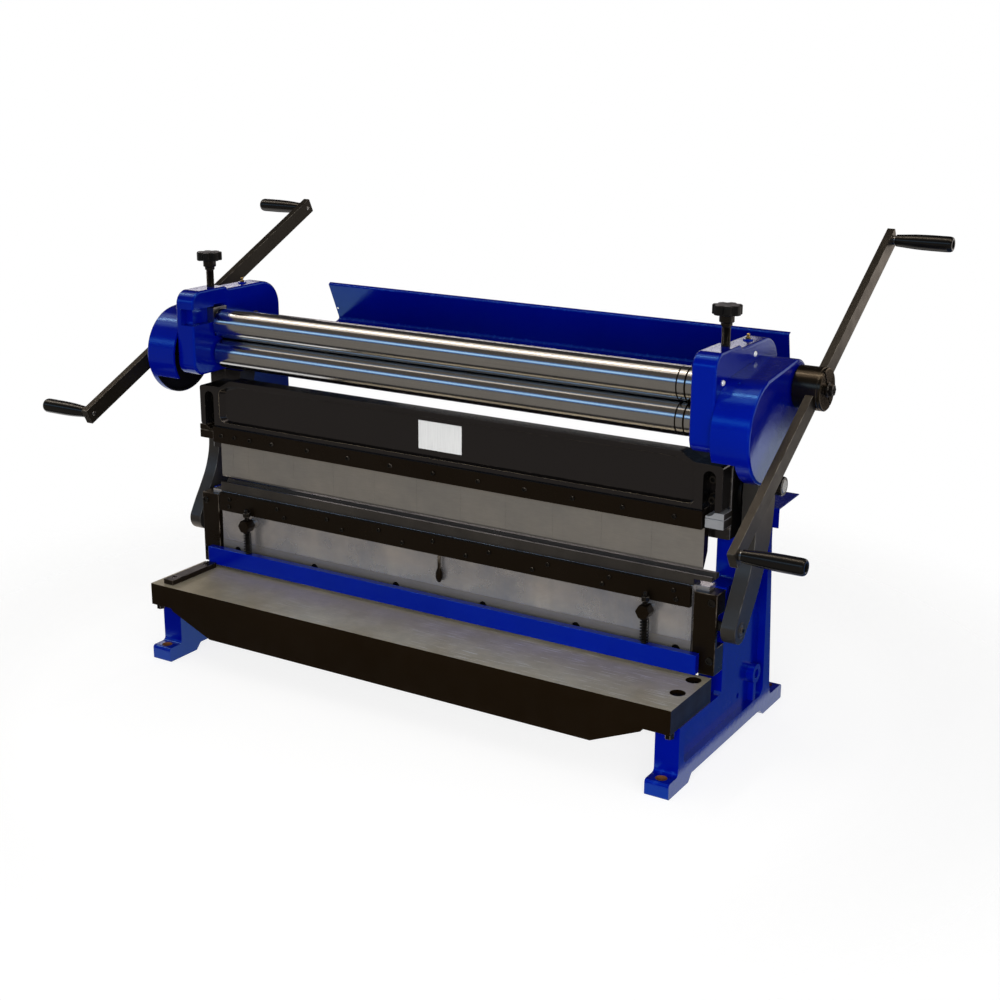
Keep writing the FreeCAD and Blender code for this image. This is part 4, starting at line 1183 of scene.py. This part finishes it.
def link():
    front = spline(
        [(-84, 270), (-67, 299), (-47, 330), (-29, 362), (-17, 400), (-14.4, 440), (PIN_Y - 42, PIN_Z)]
    )
    head = [polar(PIN_Y, PIN_Z, 42, math.pi * (30 - i) / 30) for i in range(1, 30)]
    rear = spline(
        [(PIN_Y + 42, PIN_Z), (69.6, 465), (63, 418), (48, 375), (27, 333), (1, 293), (-21, 266),
            (-37, 246.5)]
    )
    centre = Vector((RAM_PIN_Y, RAM_PIN_Z))
    va = Vector((-37, 246.5)) - centre
    vb = Vector((-84, 270)) - centre
    a0 = math.atan2(va.y, va.x)
    a1 = math.atan2(vb.y, vb.x)
    sweep = (a1 - a0) % (2 * math.pi) - 2 * math.pi
    count = 20
    under = []
    for i in range(1, count):
        a = a0 + sweep * i / count
        r = va.length + (vb.length - va.length) * i / count
        under.append(polar(RAM_PIN_Y, RAM_PIN_Z, r, a))
    ob = prism(front + head + rear + under, "x", LINK_IN, LINK_OUT)
    cut(
        ob, rod(*PIN_AXIS, 13.6, 600, 650, 48), rod(*RAM_PIN_AXIS, 9.08, 600, 650, 40),
        rod(*RAM_PIN_AXIS, 14.4, LINK_OUT - 3.4, 650, 48)
    )
    return edged(ob, 1.2, 3)


for word, ob in left_and_right(link()):
    dress(word + "_link_forging", ob, "link_steel", word + "_link", word + "_link")


def eccentric():
    shaft = pin(*ECC_AXIS, 20, -603, 603, 1, 56)
    disc = pin(*ECC_AXIS, 44, 602.8, 610, 0.8, 72)
    profile = [(0, 609), (12, 609), (12, 671.8), (11, 672.8), (0, 672.8)]
    crank_pin = smooth(lathe(profile, *PIN_AXIS, 40))
    ends = both_sides(join([disc, crank_pin]))
    dress("eccentric_steel", join([shaft, ends]), "plain_steel", "eccentric", "eccentric_shaft")
    ring = [
        (12, LINK_OUT + 1), (17, LINK_OUT + 1), (17.5, LINK_OUT + 1.5), (17.5, 670), (16.4, 672),
        (12, 672)
    ]
    collar = smooth(lathe(ring, *PIN_AXIS, 48))
    dress("collar_pair", both_sides(collar), "black_screws", "eccentric", "shaft_collars")


eccentric()

# ---------------- crank


def grip_axis(bar, sign):
    a = math.radians(bar[0])
    reach = bar[1] + sign * GRIP_HALF
    return CRANK_Y + reach * math.cos(a), CRANK_Z + reach * math.sin(a)


def crank_side(which, data):
    deg, shift, out, end = data
    bar_in = BAR_IN + out
    bar_out = BAR_OUT + out
    hub_in = HUB_IN + out
    hub_out = HUB_OUT + out
    low = CRANK_Y - BAR_HALF + shift
    high = CRANK_Y + BAR_HALF + shift
    corners = [
        (low, CRANK_Z - BAR_H / 2, 2), (high, CRANK_Z - BAR_H / 2, 2), (high, CRANK_Z + BAR_H / 2, 2),
        (low, CRANK_Z + BAR_H / 2, 2)
    ]
    bar = turned(prism(rounded(corners, 20), "x", bar_in, bar_out), deg, CRANK_Y, CRANK_Z)
    cut(bar, rod(*CRANK_AXIS, CRANK_R, bar_in - 1, bar_out + 1, 40))
    bar = on_side(which, edged(bar, 0.8, 2))
    dress(which + "_bar_steel", bar, "crank_dark_steel", "crank", which + "_crank_bar")

    groove = HUB_R - 1.0
    profile = [
        (0, hub_in), (HUB_R - 1.5, hub_in), (HUB_R, hub_in + 1.5), (HUB_R, hub_out - 8.4),
        (groove, hub_out - 7.8), (groove, hub_out - 6.6), (HUB_R, hub_out - 6), (HUB_R, hub_out - 2),
        (HUB_R - 2, hub_out), (0, hub_out)
    ]
    hub = lathe(profile, *CRANK_AXIS, 96)
    cuts = []
    for x0, x1, half, angle in ((hub_out - 4, hub_out + 1, 2, 118), (bar_in, bar_out, BAR_H / 2, deg)):
        slot = block(x0, x1, CRANK_Y - 60, CRANK_Y + 60, CRANK_Z - half, CRANK_Z + half)
        cuts.append(turned(slot, angle, CRANK_Y, CRANK_Z))
    cut(hub, *cuts)
    hub = on_side(which, edged(hub, 0.5, 2, 50))
    dress(which + "_hub_steel", hub, "hub_black", "crank", which + "_crank_hub")
    profile = [
        (0, hub_out - 4), (12.6, hub_out - 4), (13, hub_out - 3), (13, hub_out + 2.4),
        (12.4, hub_out + 3), (0, hub_out + 3)
    ]
    washer = smooth(lathe(profile, *CRANK_AXIS, 40))
    head = edged(prism(hexagon(CRANK_Y, CRANK_Z, 19), "x", hub_out + 3, hub_out + 12), 1.2, 2)
    bolt = on_side(which, join([washer, head]))
    dress(which + "_hub_bolt", bolt, "black_screws", "crank")

    pins = []
    for sign, word in ((1, "upper"), (-1, "lower")):
        y, z = grip_axis(data, sign)
        profile = [
            (0, bar_in - 1.5), (3.6, bar_in - 1.5), (4.5, bar_in - 0.6), (4.5, bar_out), (8.4, bar_out),
            (9, bar_out + 0.6), (9, bar_out + 4.3), (8.4, bar_out + 5), (4.4, bar_out + 5),
            (4.4, end - 11), (6.5, end - 11), (6.5, end - 7.4), (6, end - 7), (0, end - 7)
        ]
        pins.append(smooth(lathe(profile, "x", y, z, 36)))
        x0 = bar_out + 5.3
        body = [
            (4.6, x0), (10.4, x0), (11.2, x0 + 0.8), (11.7, x0 + 8), (12.8, x0 + 22), (13.9, x0 + 36),
            (14.5, x0 + 52), (14.8, x0 + 70), (14.8, end - 9), (14.4, end - 4.5), (13.2, end - 1.5),
            (11.6, end), (9.0, end), (7.6, end - 1.2), (7.6, end - 11.4), (4.6, end - 11.4)
        ]
        sleeve = on_side(which, smooth(lathe(body, "x", y, z, 48), 40))
        grip = which + "_" + word + "_grip"
        dress(which + "_" + word + "_sleeve", sleeve, "black_phenolic", grip, grip)
    pins = on_side(which, join(pins))
    dress(which + "_grip_pin_pair", pins, "plain_steel", "crank", which + "_grip_pins")


crank_side("right", RIGHT_BAR)
crank_side("left", LEFT_BAR)

left_end = -HUB_OUT - LEFT_BAR[2] + 4
ob = pin(*CRANK_AXIS, CRANK_R, left_end, HUB_OUT - 4, 0.5, 48)
dress("crank_shaft_steel", ob, "polished_roll_steel", "crank", "crank_shaft")

# ---------------- rolls

WIRE_GROOVES = [(505, 1.4), (521, 1.8), (536, 2.2)]


def roll(name, y, z, journal_r, journal_end, grooves, body, node):
    end = [
        (0, journal_end - 4), (3, journal_end), (journal_r - 1, journal_end),
        (journal_r, journal_end - 1), (journal_r, ROLL_HALF), (ROLL_R - 3, ROLL_HALF),
        (ROLL_R, ROLL_HALF - 3)
    ]
    profile = [(r, -x) for r, x in end]
    for x, w in grooves:
        for k in range(7):
            a = math.radians(-90 + 30 * k)
            profile.append((ROLL_R - w * math.cos(a), x + w * math.sin(a)))
    ob = smooth(lathe(profile + end[::-1], "x", y, z, 128), 25)
    dress(name, ob, "polished_roll_steel", body, node)
    # Painted shade: the wire grooves get the near-black finish.
    refinish(ob, "blackened_steel", lambda poly: any(abs(poly.center.x / MM - x) < w for x, w in grooves))


roll("lower_roll_steel", ROLL_Y, LOWER_Z, 15.0, 602.5, WIRE_GROOVES, "lower_roll", "lower_roll")
roll("upper_roll_steel", ROLL_Y, UPPER_Z, 14.0, 601.0, WIRE_GROOVES, "upper_roll", "upper_roll")
roll("rear_roll_steel", REAR_Y, REAR_Z, 15.0, 601.0, [], "rear_roll", "rear_roll")


def roll_blocks():
    ob = block(558, 596.5, ROLL_Y - 20.7, ROLL_Y + 20.7, 671, 727)
    cut(ob, rod(*UPPER_AXIS, 14.08, *THROUGH))
    ob = both_sides(edged(ob, 1.0, 2))
    dress("upper_block_pair", ob, "plain_steel", "upper_blocks", "upper_roll_blocks")
    ob = block(558, 602, REAR_Y - 20, REAR_Y + 20, 598, 645)
    cut(ob, rod(*REAR_AXIS, 15.08, *THROUGH))
    edged(ob, 1.0, 2)
    stud = smooth(rod("z", STUD_X, REAR_Y, 6, 565, 599, 28))
    head = edged(prism(hexagon(STUD_X, REAR_Y, 15.6), "z", 554, 566), 0.8, 2)
    ob = both_sides(join([ob, stud, head]))
    dress("rear_block_pair", ob, "plain_steel", "rear_blocks", "rear_roll_blocks")


roll_blocks()


def knob(which, x):
    foot = [(0, 727.3), (7, 727.3), (8, 728.5)]
    head = [(8, 801), (8, 802), (10, 802.6), (10, 807.6), (12.6, 809), (13.2, 810), (13.2, 821.2)]
    profile = foot + thread(8, 7.3, 770.0, 800) + head + [(12.6, 822), (0, 822)]
    stem = smooth(lathe(profile, "z", x, ROLL_Y, 36), 60)
    lobes = 7
    outline = []
    for i in range(140):
        a = 2 * math.pi * i / 140
        wave = 0.5 + 0.5 * math.cos(lobes * (a - math.radians(12) - math.pi / lobes))
        r = 20.6 + 5.4 * min(1.0, wave * 1.7) ** 0.8
        outline.append(polar(x, ROLL_Y, r, a))
    star = edged(prism(outline, "z", 822, 839), 3.0, 4, 50)
    dress(which + "_knob_screw", stem, "black_screws", which + "_knob", which + "_knob")
    dress(which + "_knob_star", star, "knob_plastic", which + "_knob")


knob("right", KNOB_X)
knob("left", -KNOB_X)

# ---------------- what the CAD solids keep

bushes = frame["nodes"]["shaft_bushes"]
bushes.data.materials.clear()
bushes.data.materials.append(MATS["link_steel"])
smooth(bushes)

# ---------------- stage, light and camera


# distances from the middle in metres between which the floor fades away
FLOOR_SOLID = 0.85
FLOOR_GONE = 1.5


def stage():
    """Pale floor that fades into the white background away from the object."""
    floor = prism(circle(0, 0, 6000, 64), "z", -30, 0)
    floor.name = "floor"
    s = Shader("floor_white")
    s.tree.nodes.remove(s.bsdf)
    diffuse = s.node("BsdfDiffuse")
    diffuse.inputs[0].default_value = (0.32, 0.32, 0.32, 1)
    glow = s.node("Emission")
    glow.inputs[0].default_value = (1, 1, 1, 1)
    path = s.node("LightPath")
    seen = s.math("MAXIMUM", path.outputs["Is Camera Ray"], path.outputs["Is Glossy Ray"])
    seen = s.math("MAXIMUM", seen, path.outputs["Is Transmission Ray"])
    s.put(glow.inputs[1], s.math("MULTIPLY", seen, 0.80))
    add = s.node("AddShader")
    s.wire(diffuse, add)
    s.wire(glow, add, 1)
    clear = s.node("BsdfTransparent")
    far = s.node("VectorMath")
    far.operation = "LENGTH"
    s.put(far.inputs[0], s.coords)
    fade = s.node("MixShader")
    s.put(fade.inputs[0], s.span(far.outputs["Value"], FLOOR_SOLID, FLOOR_GONE, 0.0, 1.0))
    s.wire(add, fade, 1)
    s.wire(clear, fade, 2)
    s.wire(fade, s.out)
    floor.data.materials.append(s.mat)


stage()


def flag(name, corners, level):
    """Glowing studio card that only reflections see. Together the cards hide the pale world from them."""
    bm = bmesh.new()
    bm.faces.new([bm.verts.new(Vector(c)) for c in corners])
    ob = from_bmesh(bm)
    ob.name = name
    s = Shader(name)
    s.tree.nodes.remove(s.bsdf)
    glow = s.node("Emission")
    glow.inputs[0].default_value = level + (1,)
    s.wire(glow, s.out)
    ob.data.materials.append(s.mat)
    ob.visible_camera = False
    ob.visible_diffuse = False
    ob.visible_transmission = False
    ob.visible_volume_scatter = False
    ob.visible_shadow = False


def wall(name, x0, x1, y, z0, z1, level):
    flag(name, [(x0, y, z0), (x1, y, z0), (x1, y, z1), (x0, y, z1)], level)


def side_wall(name, x, z0, z1, level):
    flag(name, [(x, FRONT_WALL, z0), (x, BACK_WALL, z0), (x, BACK_WALL, z1), (x, FRONT_WALL, z1)], level)


def level_card(name, x0, x1, y0, y1, z, level):
    flag(name, [(x0, y0, z), (x1, y0, z), (x1, y1, z), (x0, y1, z)], level)


UPPER_ROOM = (0.085, 0.075, 0.065)
LOWER_ROOM = (0.20, 0.185, 0.165)
DARK_BACK = (0.035, 0.033, 0.034)
CEILING = (1.15, 1.02, 0.88)
TUBE = (11.0, 10.2, 9.0)
BRIGHT_BACK = (1.15, 1.08, 1.02)
SIDE_FLOOR = (0.05, 0.12, 0.32)
WINDOW = (0.62, 0.98, 1.42)
WINDOW_EDGE = (0.10, 0.26, 0.60)
DOORWAY = (2.3, 2.1, 2.1)
FRONT_WALL = -6.0
BACK_WALL = 2.3
SPLIT = 1.55
wall("wall_front_low", -9, 9, FRONT_WALL, 0, SPLIT, LOWER_ROOM)
wall("wall_front_high", -9, 9, FRONT_WALL, SPLIT, 6.5, UPPER_ROOM)
wall("wall_back", -9, 0.9, BACK_WALL, 0, 6.5, DARK_BACK)
wall("wall_back_low", 0.9, 9, BACK_WALL, 0, 0.28, DARK_BACK)
wall("wall_back_right", 0.9, 9, BACK_WALL, 0.28, 2.5, BRIGHT_BACK)
wall("wall_back_high", 0.9, 9, BACK_WALL, 2.5, 6.5, DARK_BACK)
side_wall("wall_left_low", -8, 0, SPLIT, LOWER_ROOM)
side_wall("wall_left_high", -8, SPLIT, 6.5, UPPER_ROOM)
side_wall("wall_right", 8, 0, 6.5, LOWER_ROOM)
level_card("roof", -9, 9, FRONT_WALL, BACK_WALL, 6, UPPER_ROOM)
level_card("near_floor", -8, 8, FRONT_WALL, -0.6, 0.002, LOWER_ROOM)
level_card("floor_below", -8, 8, -0.6, -0.3, 0.002, DARK_BACK)
level_card("ceiling_front", -7, 4, -1.25, -0.30, 3.7, CEILING)
level_card("ceiling_rear", -7, 4, -0.05, 0.85, 3.7, CEILING)
level_card("side_floor", 0.63, 1.8, -0.25, 1.25, 0.003, SIDE_FLOOR)
level_card("ceiling_tube", -5, 2.5, -0.26, -0.10, 3.7, TUBE)
level_card("back_floor", -3, 1.2, 0.9, BACK_WALL, 0.003, DARK_BACK)
wall("window", -7, 3.5, -3.7, 1.95, 2.65, WINDOW)
wall("window_edges", -7, 3.5, -3.71, 1.55, 3.1, WINDOW_EDGE)
wall("doorway", -4.5, -0.3, BACK_WALL - 0.05, 1.22, 1.5, DOORWAY)


# brightness of the background for the light that it sheds. The camera sees it at 1, and so would
# reflections, but the cards hide it from them.
WORLD_LEVEL = 0.24


def world():
    w = bpy.data.worlds.new("studio")
    bpy.context.scene.world = w
    w.use_nodes = True
    tree = w.node_tree
    back = tree.nodes["Background"]
    path = tree.nodes.new("ShaderNodeLightPath")
    seen = path.outputs["Is Camera Ray"]
    for word in ("Is Glossy Ray", "Is Transmission Ray"):
        either = tree.nodes.new("ShaderNodeMath")
        either.operation = "MAXIMUM"
        tree.links.new(seen, either.inputs[0])
        tree.links.new(path.outputs[word], either.inputs[1])
        seen = either.outputs[0]
    level = tree.nodes.new("ShaderNodeMapRange")
    level.inputs[3].default_value = WORLD_LEVEL
    level.inputs[4].default_value = 1.0
    tree.links.new(seen, level.inputs[0])
    tree.links.new(level.outputs[0], back.inputs[1])
    back.inputs[0].default_value = (1, 1, 1, 1)


world()


def lamp(name, place_m, target_m, size, radiance, colour=(1, 1, 1)):
    """Rectangular lamp of a given brightness, where 1 is white. Reflections don't show it."""
    data = bpy.data.lights.new(name, "AREA")
    data.shape = "RECTANGLE"
    data.size, data.size_y = size
    data.energy = radiance * math.pi * size[0] * size[1]
    data.color = colour
    ob = link_object(data, name)
    ob.location = place_m
    ob.rotation_euler = (Vector(target_m) - Vector(place_m)).to_track_quat("-Z", "Y").to_euler()
    ob.visible_glossy = False


lamp("tube", (-1.4, -0.15, 3.6), (-0.9, -0.15, 0.6), (4.6, 0.2), 10.0, (1.0, 0.95, 0.87))
lamp("daylight", (-2.0, -3.6, 1.6), (-0.1, 0, 0.5), (4.0, 1.1), 1.0, (0.85, 0.93, 1.0))
lamp("low_window", (1.8, -3.2, 1.0), (0.3, 0, 0.3), (3.0, 1.8), 6.6)
lamp("fill", (4.2, -1.4, 2.2), (0.3, 0, 0.4), (2.0, 1.6), 2.0)


# The camera was solved from the photograph: place in metres, turns in degrees, the rest in pixels.
CAMERA_PLACE = (1.63664, -2.52575, 1.29563)
CAMERA_YAW = 31.657
CAMERA_PITCH = -16.188
CAMERA_ROLL = 0.277
PICTURE = 1000.0
FOCAL_LENGTH = 1573.49
AXIS_X = 491.93
AXIS_Y = 480.98
SENSOR_MM = 36.0


def camera():
    yaw = math.radians(CAMERA_YAW)
    pitch = math.radians(CAMERA_PITCH)
    roll_angle = math.radians(CAMERA_ROLL)
    forward = Vector((-math.sin(yaw) * math.cos(pitch), math.cos(yaw) * math.cos(pitch), math.sin(pitch)))
    right_way = Vector((math.cos(yaw), math.sin(yaw), 0))
    up = right_way.cross(forward)
    c, s = math.cos(roll_angle), math.sin(roll_angle)
    x_axis = c * right_way + s * up
    y_axis = -s * right_way + c * up
    data = bpy.data.cameras.new("camera")
    data.sensor_width = SENSOR_MM
    data.lens = FOCAL_LENGTH * SENSOR_MM / PICTURE
    data.shift_x = (PICTURE / 2 - AXIS_X) / PICTURE
    data.shift_y = (AXIS_Y - PICTURE / 2) / PICTURE
    data.clip_end = 200
    ob = link_object(data, "camera")
    basis = Matrix((x_axis, y_axis, -forward)).transposed().to_4x4()
    ob.matrix_world = Matrix.Translation(Vector(CAMERA_PLACE)) @ basis
    bpy.context.scene.camera = ob


camera()
bpy.context.scene.view_settings.view_transform = "Standard"
